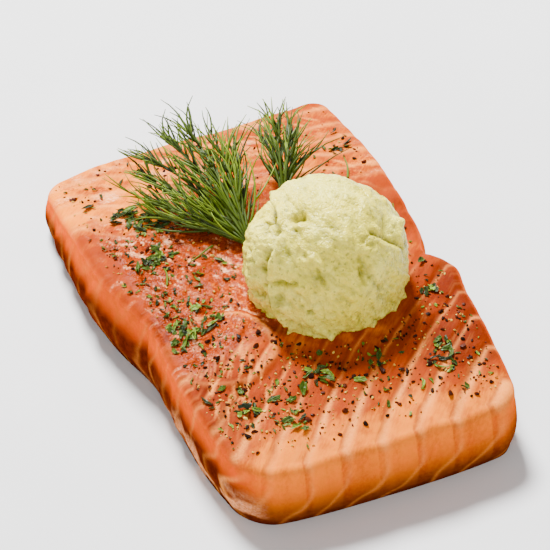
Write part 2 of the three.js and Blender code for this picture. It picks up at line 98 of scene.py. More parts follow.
# Curves, easing and noise.
def curve_at(knots, place):
    """Smooth curve through its knots, level past both ends."""
    xs = np.array([k[0] for k in knots], float)
    ys = np.array([k[1] for k in knots], float)
    last = len(xs) - 1
    before = np.maximum(np.arange(last + 1) - 1, 0)
    after = np.minimum(np.arange(last + 1) + 1, last)
    slopes = (ys[after] - ys[before]) / (xs[after] - xs[before])
    t = np.clip(np.asarray(place, float), xs[0], xs[-1])
    i = np.clip(np.searchsorted(xs, t, side="left") - 1, 0, last - 1)
    span = xs[i + 1] - xs[i]
    s = (t - xs[i]) / span
    rise = ys[i + 1] - ys[i]
    m = slopes[i] * span
    n = slopes[i + 1] * span
    return ys[i] + s * (m + s * (3 * rise - 2 * m - n + s * (m + n - 2 * rise)))


def ease(start, end, value):
    """Rises smoothly from 0 at start to 1 at end."""
    t = np.clip((value - start) / (end - start), 0, 1)
    return t * t * (3 - 2 * t)


def hill(value, centre, width):
    """A soft hill of height 1."""
    return np.exp(-(((value - centre) / width) ** 2))


def lattice(i, j, k, seed):
    """One repeatable value from 0 to 1 for each lattice point."""
    h = np.sin(i * 127.1 + j * 311.7 + k * 74.7 + seed * 53.3) * 43758.5453
    return h - np.floor(h)


def noise(x, y, z=0.0, seed=0):
    """Smooth value noise from -1 to 1, one lattice cell to the unit."""
    x, y, z = np.broadcast_arrays(np.asarray(x, float), y, z)
    i, j, k = np.floor(x), np.floor(y), np.floor(z)
    u, v, w = (f * f * (3 - 2 * f) for f in (x - i, y - j, z - k))
    total = np.zeros_like(x)
    for di in (0, 1):
        for dj in (0, 1):
            for dk in (0, 1):
                weight = (u if di else 1 - u) * (v if dj else 1 - v) * (w if dk else 1 - w)
                total = total + weight * lattice(i + di, j + dj, k + dk, seed)
    return 2 * total - 1


def fractal(x, y, z=0.0, seed=0, octaves=3):
    """Noise summed over octaves, about -1 to 1."""
    total = 0.0
    for octave in range(octaves):
        scale = 2.03**octave
        total = total + noise(x * scale, y * scale, z * scale, seed + octave) / 1.9**octave
    return total / 1.6


def random_from(seed):
    """The same seeded draws that the solids use."""
    state = seed
    while True:
        state = (state * 1664525 + 1013904223) % 4294967296
        yield state / 4294967296


def between(low, high, share):
    """The value at a share of the way from low to high."""
    return low + (high - low) * share


# Form of the portion.
def flake_phase(x, y):
    """Position across the flakes: it grows by 1 from one fat line to the next."""
    forward = np.maximum(0, y + LENGTH / 2)
    curled = np.minimum(forward, FLAKES["curl_reach"])
    sweep = FLAKES["lean"] * forward + FLAKES["curl"] * curled * (2 * forward - curled)
    return (x - FLAKES["start"] - sweep) / FLAKES["spacing"]


def from_scoop(x, y):
    """Distance in mm in plan from the middle of the scoop."""
    return np.hypot(x - SCOOP["x"], y - SCOOP["y"])


def flake_relief(x, y):
    """Low ridges of the flakes, level under the scoop and lower towards the back end."""
    open_top = ease(SCOOP["radius"], SCOOP["radius"] + SCOOP["ring"], from_scoop(x, y))
    groove = (0.5 + 0.5 * np.cos(2 * np.pi * flake_phase(x, y))) ** 3
    across = np.sin(x * UNEVEN["across"] + UNEVEN["across_shift"])
    uneven = across * np.sin(y * UNEVEN["along"] + UNEVEN["along_shift"])
    share = between(1, FLAKES["back_share"], ease(0, LENGTH / 3, y))
    return open_top * FLAKES["relief"] * share * (uneven - groove)


def beyond_lobe(x, y):
    """Distance in mm beyond the edge of the front-left flake, below 0 on it."""
    return np.hypot(x - LOBE["x"], y - LOBE["y"]) - LOBE["radius"]


def lobe_rise(x, y):
    """The front-left flake stands a little over the flesh behind it."""
    out = beyond_lobe(x, y)
    inside = 1 - ease(-LOBE["edge"], LOBE["edge"], out)
    return LOBE["rise"] * inside * ease(-LOBE["radius"] * 2, 0, out) * ease(*LOBE["fade"], x - LOBE["x"])


def top_height(x, y):
    """Height of the top face."""
    across = 2 * x / WIDTH
    crown = CROWN * (0.5 - across * across)
    return curve_at(THICKNESS, y) + crown + flake_relief(x, y) + lobe_rise(x, y)


def rounded_grid(u, v):
    """Rounds the corners of the square -1..1 grid, each by its own radius."""
    r = CORNER_RADIUS
    front = np.where(u < 0, r["front_left"], r["front_right"])
    back = np.where(u < 0, r["back_left"], r["back_right"])
    radius = np.where(v < 0, front, back)
    half_w = WIDTH / 2
    half_l = LENGTH / 2
    p = np.abs(u) * half_w - (half_w - radius)
    q = np.abs(v) * half_l - (half_l - radius)
    corner = (p > 0) & (q > 0)
    a = np.clip(p / radius, 0, 1)
    b = np.clip(q / radius, 0, 1)
    x = half_w - radius + p * np.sqrt(1 - b * b / 2)
    y = half_l - radius + q * np.sqrt(1 - a * a / 2)
    u = np.where(corner, np.sign(u) * x / half_w, u)
    v = np.where(corner, np.sign(v) * y / half_l, v)
    return u, v


def plan_points(columns, rows):
    """Places of grid points in plan, inside the outline by the crest's inset."""
    u, v = rounded_grid(2 * columns / ACROSS_CELLS - 1, 2 * rows / ALONG_CELLS - 1)
    y_guess = v * LENGTH / 2
    left = curve_at(LEFT_EDGE, y_guess) + CREST_INSET
    right = curve_at(RIGHT_EDGE, y_guess) - CREST_INSET
    x = left + (right - left) * (u + 1) / 2
    front = curve_at(FRONT_EDGE, x) + CREST_INSET
    back = curve_at(BACK_EDGE, x) - CREST_INSET
    return x, front + (back - front) * (v + 1) / 2


def crest_drop(nx, ny):
    """Drop of the crest for a rim point whose outward direction is nx, ny."""
    ends = np.where(ny < 0, CREST_DROP["front"], CREST_DROP["back"])
    sides = np.where(nx < 0, CREST_DROP["left"], CREST_DROP["right"])
    return ny * ny * ends + nx * nx * sides


def face_place(y, w):
    """Place across the bands of the cut faces, which bend back at mid height."""
    return 2 * np.pi * (y + FACE["bend"] * np.abs(w - FACE["bend_at"])) / FACE["flake"]


def face_relief(x, y, w, nx):
    """How far a face stands out at depth w, from 0 at the crest to 1 at the base."""
    belly = np.sin(np.pi * w)
    place = face_place(y, w)
    flakes = FACE["relief"] * np.sin(place) * (0.55 + 0.45 * np.sin(0.37 * place + 2))
    seam = np.where(nx < -0.5, SEAM["depth"] * hill(y, SEAM["y"], SEAM["width"]), 0)
    bulge = BELLY["bulge"] + BELLY["swing"] * np.sin(BELLY["turn"] * y + 0.6)
    return belly * (bulge + flakes * np.abs(nx) - seam)


# Zones of the flesh: where a part ends along y, how far its edge wanders, and its slant over x.
FRONT_PART = {"end": -19, "wander": 4, "slant": 0.25, "seed": 4}
BACK_PART = {"end": 25, "wander": 5, "slant": -0.25, "seed": 5}

# About how far one fat line is from the next, square to them, in the front part and the back part.
FRONT_LINES_APART = 6.5
BACK_LINES_APART = 7.4


def part_edge(part, x, y):
    """Place along y where a part of the flesh ends."""
    return part["end"] + part["wander"] * noise(x / 9, y / 9, seed=part["seed"]) + part["slant"] * x


def front_zone(x, y):
    """1 in the streaked front part, 0 behind it."""
    edge = part_edge(FRONT_PART, x, y)
    return 1 - ease(edge - 4, edge + 5, y)


def back_zone(x, y):
    """1 in the pale back part."""
    edge = part_edge(BACK_PART, x, y)
    return ease(edge - 8, edge + 8, y)


def raw_zone(x, y):
    """1 on the ragged, redder middle band left of the scoop."""
    middle = (1 - front_zone(x, y)) * (1 - back_zone(x, y))
    return middle * (1 - ease(4, 24, x)) * ease(-37, -31, x)


def streaks(x, y, heading, length, width, seed):
    """Noise drawn out along a heading in degrees, -1 to 1."""
    a = math.radians(heading)
    along = x * math.cos(a) + y * math.sin(a)
    across = y * math.cos(a) - x * math.sin(a)
    return fractal(along / length, across / width, seed=seed)


def near_line(phase, spacing):
    """Distance in mm to the nearest whole phase."""
    return np.abs(phase - np.round(phase)) * spacing


def line_phase(x, y):
    """Phase of the fat lines, which wander a little off the even flakes."""
    wander = 0.13 * noise(x / 17, y / 17, seed=6)
    return flake_phase(x, y) + wander + 0.035 * noise(x / 4, y / 4, seed=7)


def lobe_line(x, y, place, width):
    """1 along the back edge of the front-left flake, place mm beyond it."""
    shown = ease(*LOBE["fade"], x - LOBE["x"]) * ease(-35, -28, y)
    return hill(beyond_lobe(x, y) + 0.5 * noise(x / 3, y / 3, seed=14), place, width) * shown


def front_lines(x, y, patchy):
    """Fat lines of the front part: main ones, wider towards the end, and thin strokes between."""
    outer = ease(-36, -56, y)
    width = between(0.42, 0.74, outer) + 0.16 * noise(x / 7, y / 7, seed=8)
    away = near_line(line_phase(x, y), FRONT_LINES_APART)
    main = hill(away, 0, width) * between(0.65, 1, outer) + 0.2 * hill(away, 0, 1.6) * outer
    thin = 0.2 * ease(0.1, 0.7, streaks(x, y, 46, 8, 0.8, 12))
    left = 0.75 * ease(-8, -20, x) * ease(0.05, 0.6, streaks(x, y, 62, 6, 0.9, 16)) * (1 - outer)
    return (main * (0.3 + 0.7 * patchy) + thin * (1 - 0.6 * patchy) + left) * front_zone(x, y)


def back_lines(x, y, patchy):
    """Faint fat lines and strokes of the back part."""
    phase = (y + 0.34 * x + 3.5 * np.sin(x / 9.5 + 0.6)) / BACK_LINES_APART
    phase = phase + 0.3 * noise(x / 10, y / 10, seed=10)
    faint = hill(near_line(phase, BACK_LINES_APART), 0, 0.9) * np.clip(0.2 + patchy, 0, 1)
    strokes = ease(0.15, 0.7, streaks(x, y, 128, 6, 1.3, 18))
    return (0.6 * faint + 0.7 * strokes) * back_zone(x, y)


def fat_lines(x, y):
    """Pale fat lines on the top face, 0 to 1."""
    patchy = np.clip(0.7 + 0.7 * noise(x / 8, y / 8, seed=9), 0, 1)
    lobe = 0.8 * lobe_line(x, y, -0.8, 0.7) * (0.4 + 0.6 * patchy)
    return np.clip(front_lines(x, y, patchy) + back_lines(x, y, patchy) + lobe, 0, 1)


def fine_relief(x, y):
    """Fibres, pits and grooves that the plain solid leaves out."""
    raw = raw_zone(x, y)
    torn = streaks(x, y, 125, 2.6, 1.0, 20)
    pits = np.clip(fractal(x / 1.3, y / 1.3, seed=24, octaves=2) - 0.35, 0, 1)
    lumps = fractal(x / 3.6, y / 3.6, seed=26, octaves=2)
    calm = 0.07 * fractal(x / 5.5, y / 5.5, seed=28) + 0.04 * streaks(x, y, 50, 2.6, 0.8, 30)
    open_top = ease(SCOOP["radius"] - 3, SCOOP["radius"], from_scoop(x, y))
    ragged = raw * (0.24 * torn + 0.3 * lumps - 0.55 * pits)
    return calm + open_top * (ragged + 0.05 * fat_lines(x, y))


def surface_height(x, y):
    """Height of the finely modelled top."""
    return top_height(x, y) + fine_relief(x, y)


def flesh_tone(x, y):
    """Lightness of the top face, 0 deep red, 0.5 orange and 1 pale orange, with some painted light and
    shade.
    """
    broad = fractal(x / 11, y / 11, seed=90, octaves=2)
    fine = fractal(x / 2.6, y / 2.6, seed=93)
    behind_line = (line_phase(x, y) + 0.22) % 1
    dark_side = hill(behind_line, 0.06, 0.13) * front_zone(x, y)
    leftness = ease(20, -25, x)
    level = 0.34 + 0.52 * ease(-41, -58, y) + (0.24 + 0.18 * leftness) * back_zone(x, y)
    sides = (0.32 * ease(13, 27, x) + 0.12 * ease(-18, -30, x)) * (1 - ease(-44, -56, y))
    # Painted shade: the tone is lowered just beyond the front-left flake's back edge, where the scoop's
    # shadow falls.
    level = level - 0.08 * raw_zone(x, y) - sides * front_zone(x, y) - 0.25 * lobe_line(x, y, 1.2, 1.2)
    # Painted light: the tone rises around the scoop's foot, which lightens the scoop's cast shadow.
    painted_fill_by_scoop = hill(from_scoop(x, y), SCOOP["radius"], 7)
    # Painted glow: the tone rises along the left edge, as if the flesh were lit through there.
    rim = ease(-29, -35, x) * (1 - ease(-30, -50, y))
    tone = level + 0.15 * broad + 0.17 * fine + 0.28 * painted_fill_by_scoop - 0.16 * dark_side + 0.17 * rim
    return np.clip(tone, 0, 1)


def smears_and_glints(x, y):
    """Pinkish-white smears of the ragged part, partly painted wet highlights, and pale smears of the back
    end.
    """
    spots = ease(0.2, 0.5, streaks(x, y, 120, 2.2, 0.8, 96))
    patches = ease(-0.2, 0.5, noise(x / 5, y / 5, seed=99))
    behind = 0.6 * back_zone(x, y) * ease(0.0, 0.7, fractal(x / 6, y / 3.4, seed=101, octaves=2))
    return np.clip(raw_zone(x, y) * spots * (0.25 + 0.75 * patches) + behind, 0, 1)


def dryness(x, y):
    """1 on the duller flesh, 0 on the wet ragged part and in a few wet patches."""
    wet = ease(0.15, 0.55, fractal(x / 7, y / 7, seed=105, octaves=2))
    return np.clip(1 - raw_zone(x, y) * ease(-34, -30, x) - 0.6 * wet * back_zone(x, y), 0, 1)


# Mesh and material helpers.
def add_mesh(name, points, faces, smooth=True):
    """A mesh object from points in mm."""
    mesh = bpy.data.meshes.new(name)
    mesh.from_pydata((np.asarray(points) * MM).tolist(), [], faces)
    mesh.update()
    if smooth:
        mesh.polygons.foreach_set("use_smooth", [True] * len(mesh.polygons))
    piece = bpy.data.objects.new(name, mesh)
    bpy.context.scene.collection.objects.link(piece)
    return piece


def set_mask(piece, name, values):
    """Writes one number for each point, for the material to read."""
    layer = piece.data.attributes.new(name, "FLOAT", "POINT")
    layer.data.foreach_set("value", np.clip(values, 0, 1).astype(np.float32))


def linear(colour):
    """An sRGB colour of 0 to 255 as linear values."""
    out = []
    for c in colour:
        s = c / 255
        out.append(s / 12.92 if s <= 0.04045 else ((s + 0.055) / 1.055) ** 2.4)
    return (*out, 1.0)


class Nodes:
    """Short calls for building one material's node tree, with colours in sRGB of 0 to 255."""

    def __init__(self, name):
        self.material = bpy.data.materials.new(name)
        self.material.use_nodes = True
        self.tree = self.material.node_tree
        self.shader = self.tree.nodes["Principled BSDF"]

    def new(self, kind):
        return self.tree.nodes.new("ShaderNode" + kind)

    def feed(self, node, inputs):
        """Sets inputs of a node to numbers and colours, or links outputs of other nodes to them."""
        for place, value in inputs.items():
            if isinstance(value, tuple):
                node.inputs[place].default_value = linear(value)
            elif isinstance(value, (int, float)):
                node.inputs[place].default_value = value
            else:
                self.tree.links.new(value, node.inputs[place])

    def position(self, scale, turn):
        """Object coordinates in mm, turned about Z in degrees, times one scale or one for each axis."""
        node = self.new("Mapping")
        node.vector_type = "TEXTURE"
        node.inputs["Scale"].default_value = [MM / s for s in np.broadcast_to(scale, 3)]
        node.inputs["Rotation"].default_value[2] = math.radians(turn)
        self.feed(node, {"Vector": self.new("TexCoord").outputs["Object"]})
        return node.outputs["Vector"]

    def mask(self, name):
        node = self.new("Attribute")
        node.attribute_name = name
        return node.outputs["Fac"]

    def noise(self, scale, detail=3, rough=0.55, turn=0.0):
        node = self.new("TexNoise")
        place = self.position(scale, turn)
        self.feed(node, {"Vector": place, "Scale": 1, "Detail": detail, "Roughness": rough})
        return node.outputs["Fac"]

    def ramp(self, value, low, high, to_low=0.0, to_high=1.0):
        """Eases a value that goes from low to high into to_low to to_high."""
        node = self.new("MapRange")
        node.interpolation_type = "SMOOTHSTEP"
        self.feed(node, {"Value": value, "From Min": low, "From Max": high})
        self.feed(node, {"To Min": to_low, "To Max": to_high})
        return node.outputs["Result"]

    def math(self, operation, a, b):
        node = self.new("Math")
        node.operation = operation
        self.feed(node, {0: a, 1: b})
        return node.outputs["Value"]

    def plus(self, a, b):
        return self.math("ADD", a, b)

    def times(self, a, b):
        return self.math("MULTIPLY", a, b)

    def mix(self, factor, a, b):
        """Colour a where factor is 0, b where it is 1. The colour sockets of this node are 6, 7 and 2."""
        node = self.new("Mix")
        node.data_type = "RGBA"
        self.feed(node, {0: factor, 6: a, 7: b})
        return node.outputs[2]

    def shades(self, tone, dark, mid, light):
        """Dark where tone is 0, mid at 0.5 and light at 1."""
        lower = self.mix(self.ramp(tone, 0, 0.5), dark, mid)
        return self.mix(self.ramp(tone, 0.5, 1), lower, light)

    def bump(self, height, strength, distance):
        node = self.new("Bump")
        self.feed(node, {"Height": height, "Strength": strength, "Distance": distance * MM})
        self.feed(self.shader, {"Normal": node.outputs["Normal"]})

    def soft(self, weight, radius):
        self.feed(self.shader, {"Subsurface Weight": weight, "Subsurface Scale": MM})
        self.shader.inputs["Subsurface Radius"].default_value = radius

    def finish(self, colour, roughness, shine=0.5):
        self.feed(self.shader, {"Base Color": colour, "Roughness": roughness})
        self.feed(self.shader, {"Specular IOR Level": shine})
        return self.material


# Materials.
def flesh_material(name, shine, smooth, rough):
    """Moist raw flesh: orange, redder in the middle, pale along the fat lines, with painted light and
    shade on the cut faces and painted glints.
    """
    n = Nodes(name)
    mottled = n.noise(0.5, detail=4, rough=0.6)
    grain = n.noise(1.7, rough=0.6)
    fibre = n.noise((0.35, 1.6, 1.0), rough=0.6, turn=50)
    speckle = n.noise(1.5, detail=2)
    wet = n.math("SUBTRACT", 1, n.mask("dry"))
    tone = n.plus(n.mask("tone"), n.ramp(fibre, 0.25, 0.75, -0.07, 0.07))
    tone = n.plus(tone, n.times(wet, n.ramp(speckle, 0.3, 0.7, -0.18, 0.24)))
    top = n.shades(tone, (104, 28, 0), (150, 51, 0), (243, 128, 0))
    # Cut faces: painted light and shade, bright orange under the crest as if lit through, deep red in
    # painted shade towards the foot.
    low = n.mix(n.ramp(mottled, 0.35, 0.68), (74, 17, 1), (96, 28, 2))
    high = n.mix(n.ramp(mottled, 0.3, 0.7), (238, 84, 0), (216, 82, 0))
    side = n.mix(n.ramp(n.mask("depth"), 0.04, 0.42), high, low)
    base = n.mix(n.mask("face"), top, side)
    fat = n.times(n.mask("fat"), n.ramp(grain, 0.2, 0.65, 0.45, 0.9))
    base = n.mix(fat, base, (250, 150, 66))
    # Pale smears. In the ragged part and low on the left face they are partly painted highlights.
    smear_and_sheen = n.times(n.mask("smears_and_glints"), n.ramp(grain, 0.25, 0.65, 0.3, 0.85))
    base = n.mix(smear_and_sheen, base, (246, 156, 96))
    # Painted glints: near-white specks on the smears, fewer on the cut faces.
    glint = n.times(n.mask("smears_and_glints"), n.ramp(speckle, 0.5, 0.62, 0, 0.6))
    glint = n.times(glint, n.ramp(n.mask("face"), 0, 1, 1, 0.3))
    base = n.mix(glint, base, (255, 206, 172))
    uneven = n.plus(n.times(fibre, 0.35), grain)
    uneven = n.plus(uneven, n.times(speckle, n.times(wet, 3.5)))
    n.bump(uneven, 0.6, 0.12)
    n.soft(0.2, (2.4, 0.8, 0.35))
    dull = n.times(n.mask("dry"), 0.45)
    return n.finish(base, n.plus(n.ramp(grain, 0.3, 0.7, smooth, rough), dull), shine)


def butter_material():
    """Waxy pale butter with herb specks, and olive painted shade in its hollows and under its cap."""
    n = Nodes("herb_butter")
    broad = n.noise(0.1)
    fine = n.noise(1.4)
    base = n.mix(n.ramp(broad, 0.35, 0.65), (252, 240, 96), (244, 226, 60))
    # Painted shade: olive where the painted shade mask is high.
    base = n.mix(n.times(n.mask("painted_shade"), 0.95), base, (138, 132, 14))
    specks = n.ramp(n.noise(1.1, detail=2, rough=0.4), 0.62, 0.7)
    base = n.mix(n.times(specks, 0.6), base, (128, 128, 18))
    mottled = n.ramp(n.noise(0.6), 0.4, 0.66)
    base = n.mix(n.times(mottled, 0.4), base, (206, 194, 40))
    n.bump(n.plus(fine, n.times(n.noise(3.2, detail=1), 0.5)), 1, 0.4)
    n.soft(0.08, (1.6, 1.3, 0.6))
    return n.finish(base, n.ramp(fine, 0.3, 0.7, 0.14, 0.42), 0.42)


def leaf_material(name, dark, mid, light):
    """Fresh herb green, from dark to light by each point's own tone."""
    n = Nodes(name)
    fine = n.noise(1.4, detail=2)
    base = n.shades(n.mask("tone"), dark, mid, light)
    base = n.mix(n.ramp(fine, 0.45, 0.75, 0, 0.35), base, dark)
    return n.finish(base, n.ramp(fine, 0.3, 0.7, 0.4, 0.6), 0.2)


def grain_material(name, dark, light, rough):
    """Dry grains, each with its own tone."""
    n = Nodes(name)
    fine = n.noise(2.5, detail=2)
    base = n.mix(n.mask("tone"), dark, light)
    base = n.mix(n.ramp(fine, 0.45, 0.7, 0, 0.4), base, dark)
    return n.finish(base, n.ramp(fine, 0.3, 0.7, rough - 0.1, rough + 0.1), 0.06)


# The portion.
def grid_faces(columns, rows):
    """Quads of a grid whose points run along columns first."""
    size = columns + 1
    j, i = np.mgrid[0:rows, 0:columns]
    a = (j * size + i).ravel()
    return np.stack([a, a + 1, a + size + 1, a + size], axis=1)


def rim_loop():
    """Numbers of the grid points around the rim, anticlockwise seen from above."""
    front = [(i, 0) for i in range(ACROSS_CELLS)]
    right = [(ACROSS_CELLS, j) for j in range(ALONG_CELLS)]
    back = [(i, ALONG_CELLS) for i in range(ACROSS_CELLS, 0, -1)]
    left = [(0, j) for j in range(ALONG_CELLS, 0, -1)]
    return np.array([j * (ACROSS_CELLS + 1) + i for i, j in front + right + back + left])


def face_fat(x, y, w, nx, ny):
    """Pale bands on the cut faces: bent ones on the sides, and the top's own lines down the ends."""
    warp = 0.3 * noise(y / 11, w * 2.2, nx, seed=50) + 0.08 * noise(y / 3, w * 6, nx, seed=51)
    phase = face_place(y, w) / (2 * np.pi) + warp
    patchy = np.clip(0.55 + 0.8 * noise(y / 7, w * 3, nx, seed=52), 0, 1)
    width = 0.8 + 0.4 * noise(y / 6, w * 3, seed=53)
    bands = hill(near_line(phase, FACE["flake"]), 0, width) * ease(0.6, 0.9, np.abs(nx))
    strong = np.where(nx > 0, 0.75, 0.3 + 0.5 * ease(-25, -50, y))
    leaning = line_phase(x, y) + 0.9 * w * w + 0.3 * w * noise(x / 9, w * 3, ny, seed=54)
    ends = 0.55 * hill(near_line(leaning, FLAKES["spacing"]), 0, 0.7) * ease(0.6, 0.9, np.abs(ny))
    return np.clip((bands * strong + ends) * (0.3 + 0.7 * patchy), 0, 1)


def face_smears_and_glints(y, w, nx):
    """Pinkish-white streaks, partly pale fat and partly painted highlights, low on the left face near the
    front and a few along the foot.
    """
    smears = ease(-0.1, 0.5, fractal(y / 4.5, w * 5, seed=56))
    place = ease(0.25, 0.7, w) * ease(-8, -34, y) * ease(-0.4, -0.9, nx)
    return np.clip(smears * (place + 0.25 * ease(0.75, 1, w)), 0, 1)


def top_masks(x, y):
    """What the flesh material reads on the top face."""
    masks = {"tone": flesh_tone(x, y), "fat": fat_lines(x, y), "smears_and_glints": smears_and_glints(x, y)}
    return masks | {"dry": dryness(x, y), "face": 0 * x, "depth": 0 * x}


def flesh_rings(x, y):
    """Points and masks of each ring from the rim at x, y over the crest and down to the foot."""
    dx = np.roll(x, -1) - np.roll(x, 1)
    dy = np.roll(y, -1) - np.roll(y, 1)
    run = np.hypot(dx, dy)
    nx, ny = dy / run, -dx / run
    top = surface_height(x, y)
    crest = top - crest_drop(nx, ny)
    rim = top_masks(x, y)

    def ring(out, z, share, w, fat, smear_and_sheen):
        masks = {
            "tone": rim["tone"],
            "fat": between(rim["fat"], fat, share),
            "smears_and_glints": between(rim["smears_and_glints"], smear_and_sheen, share),
            "dry": between(rim["dry"], 1, share),
            "face": share * (1 - 0.7 * (1 - w) * ny * ny),
            # The cut faces' painted shade follows depth. On the ends it grows more slowly, so the painted
            # light reaches further down.
            "depth": w * (1 - 0.4 * ny * ny),
        }
        return np.stack([x + nx * out, y + ny * out, z], axis=1), masks

    nicks = 0.1 * noise(x / 3.5, y / 3.5, seed=40)
    for r in range(1, CREST_ROWS + 1):
        turn = math.pi / 2 * r / CREST_ROWS
        out = (CREST_INSET + nicks) * math.sin(turn)
        share = float(ease(0.3, 1.0, r / CREST_ROWS))
        drop = (top - crest) * (1 - math.cos(turn))
        yield ring(out, top - drop, share, 0.0, face_fat(x, y, 0.0, nx, ny), 0.0)
    for r in range(1, FACE_ROWS + 1):
        w = r / FACE_ROWS
        tuck = FOOT_INSET * float(ease(FOOT_START, 1, w))
        fibres = fractal(y / 5, x / 5, w * 5, seed=44) + 0.4 * noise(y / 1.2, x / 1.2, w * 9, seed=47)
        bands = face_fat(x, y, w, nx, ny)
        out = CREST_INSET + nicks * (1 - w) + face_relief(x, y, w, nx) - tuck
        out = out + math.sin(math.pi * w) * (0.16 * fibres - 0.15 * bands)
        yield ring(out, crest * (1 - w), 1.0, w, bands, face_smears_and_glints(y, w, nx))


# Finishes of the flesh, in the order of the piece's materials: shine, least and most roughness.
FLESH_FINISHES = {
    "salmon_flesh": (0.025, 0.12, 0.26),
    "salmon_cut_face": (0, 0.2, 0.4),
    "salmon_ragged": (0.025, 0.08, 0.2),
}
RAGGED_FROM = 0.15


def flesh():
    """The finely modelled portion, which stands for the plain solid."""
    rows, columns = np.mgrid[0 : ALONG_CELLS + 1, 0 : ACROSS_CELLS + 1]
    x, y = plan_points(columns.ravel().astype(float), rows.ravel().astype(float))
    points = [np.stack([x, y, surface_height(x, y)], axis=1)]
    masks = [top_masks(x, y)]
    cells = grid_faces(ACROSS_CELLS, ALONG_CELLS)
    faces = [cells]
    rim = rim_loop()
    ring = rim
    total = len(x)
    count = len(rim)
    for ring_points, ring_masks in flesh_rings(x[rim], y[rim]):
        outer = total + np.arange(count)
        points.append(ring_points)
        masks.append(ring_masks)
        faces.append(np.stack([ring, outer, np.roll(outer, -1), np.roll(ring, -1)], axis=1))
        ring = outer
        total += count
    points.append(np.array([[np.mean(x[rim]), np.mean(y[rim]), 0]]))
    masks.append({name: values[:1] for name, values in masks[-1].items()})
    mouth = [[int(ring[(k + 1) % count]), int(ring[k]), total] for k in range(count)]
    piece = add_mesh("salmon_flesh", np.concatenate(points), np.concatenate(faces).tolist() + mouth)
    for name in masks[0]:
        set_mask(piece, name, np.concatenate([m[name] for m in masks]))
    for name, finish in FLESH_FINISHES.items():
        piece.data.materials.append(flesh_material(name, *finish))
    top_slot, cut_slot, ragged_slot = range(3)
    kinds = np.full(len(piece.data.polygons), cut_slot)
    kinds[: len(cells) + CREST_SHINE * count] = top_slot
    kinds[: len(cells)][raw_zone(x, y)[cells[:, 0]] > RAGGED_FROM] = ragged_slot
    piece.data.polygons.foreach_set("material_index", kinds)
    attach(piece, "root")
    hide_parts("salmon_fillet")


# The scoop of butter: marks as azimuth, elevation and spread in degrees, and depth in mm outwards.
SCOOP_MARKS = [
    (-28, 26, 9, 1), (-38, 38, 7, -1.1), (-159, 66, 10, -1.1), (-143, 58, 8, 0.5),
    (-166, 46, 8, -0.8), (-158, 30, 14, 0.8), (-146, 16, 9, -1), (162, 46, 12, -0.6),
    (-82, 20, 7, -0.4), (60, 35, 16, 0.7), (100, 20, 10, -0.9), (25, 50, 12, -0.5),
]

# Small dents and lumps that only the dressed scoop has, in the same terms.
SCOOP_DENTS = [
    (-159, 68, 3.6, -1.8), (-166, 63, 2.6, -1.3), (-149, 61, 3, 1), (-164, 44, 4, 0.8),
    (-166, 51, 3, -1), (158, 48, 3.5, -1), (161, 40, 4, -0.9), (-44, 57, 4, 0.4), (-48, 42, 4, 0.5),
    (-19, 29, 4, 1.5), (-27, 17, 3.5, -1.3), (-170, 18, 4, -0.8), (-165, 12, 3, -0.6),
    (-147, 7, 3, -0.5), (-175, -4, 4, -0.6), (-117, 9, 2, -0.6), (-73, 2, 2, -0.6),
    (-104, 35, 2, -0.4), (-89, 47, 2.4, -0.4), (-89, -8, 2, -0.5), (-130, -3, 2.4, -0.5),
    (-110, -22, 3, 1.4),
]

# Cracks as runs of azimuth and elevation, with a width and a depth in mm.
SCOOP_CRACKS = [
    ([(-56, 46), (-48, 38), (-43, 31), (-35, 19)], 0.7, 1.4),
    ([(-154, 15), (-144, 18), (-134, 21)], 0.5, 1.1),
    ([(-119, 33), (-113, 22)], 0.5, 0.6),
    ([(-81, 37), (-79, 32)], 0.5, 0.8),
    ([(-84, 29), (-83, 18)], 0.5, 0.8),
    ([(-78, 23), (-72, 10)], 0.6, 0.5),
    ([(-110, 63), (-98, 58)], 0.6, 0.4),
    ([(-103, 15), (-95, 5)], 0.6, 0.5),
    ([(120, 40), (108, 30), (104, 12)], 0.7, 0.8),
    ([(40, 20), (52, 32), (60, 48)], 0.7, 0.7),
]

# The ledge that the scoop's edge left: its outer side lies deeper and is crumbly.
SCOOP_LEDGE = [
    (127, 43), (169, 55), (-168, 49), (-161, 37), (-160, 27), (-158, 17), (-155, 6), (-151, -7),
    (-144, -21),
]
LEDGE_DEPTH = 2.4
LEDGE_LIP = 1.2
LEDGE_REACH = 9

# Painted shade and painted highlights of the butter: azimuth, elevation and spread in degrees, and a
# strength below 0 where painted paler.
PAINTED_SHADE_WEIGHT = 1.3
SCOOP_PAINTED_SHADE = [
    (-152, 41, 6, 0.6), (-151, 54, 4, 0.4), (-98, 59, 7, 0.35), (-72, 49, 8, 0.35),
    (-156, 4, 6, 0.7), (-168, 17, 7, 0.6), (-147, -1, 6, 0.5), (-118, 29, 5, 0.4),
    (-83, 26, 5, 0.4), (-66, 39, 4, 0.5), (-167, 31, 6, 0.4), (-22, 76, 18, -0.3),
    (-166, 42, 3, -0.7), (-158, 29, 3, -0.7),
]

# Directions of the scrape marks on the scoop: along them and across them.
SCRAPE_ALONG = np.array([0.448, -0.708, -0.546])
SCRAPE_ACROSS = np.array([0.84, 0.124, 0.528])
SCOOP_DETAIL = 7


def direction_of(azimuth, elevation):
    """Unit direction at an azimuth and an elevation in degrees."""
    a = math.radians(azimuth)
    e = math.radians(elevation)
    return np.array([math.cos(a) * math.cos(e), math.sin(a) * math.cos(e), math.sin(e)])


def scoop_radius(d):
    """Radius of the scoop in unit directions: soft facets and the marks."""
    around = np.sin(FACETS["across"] * d[:, 0] + 2) * np.sin(FACETS["along"] * d[:, 1] + 1)
    facets = FACETS["depth"] * around * np.cos(FACETS["up"] * d[:, 2])
    return SCOOP["radius"] + scoop_marks(d, SCOOP_MARKS) + facets


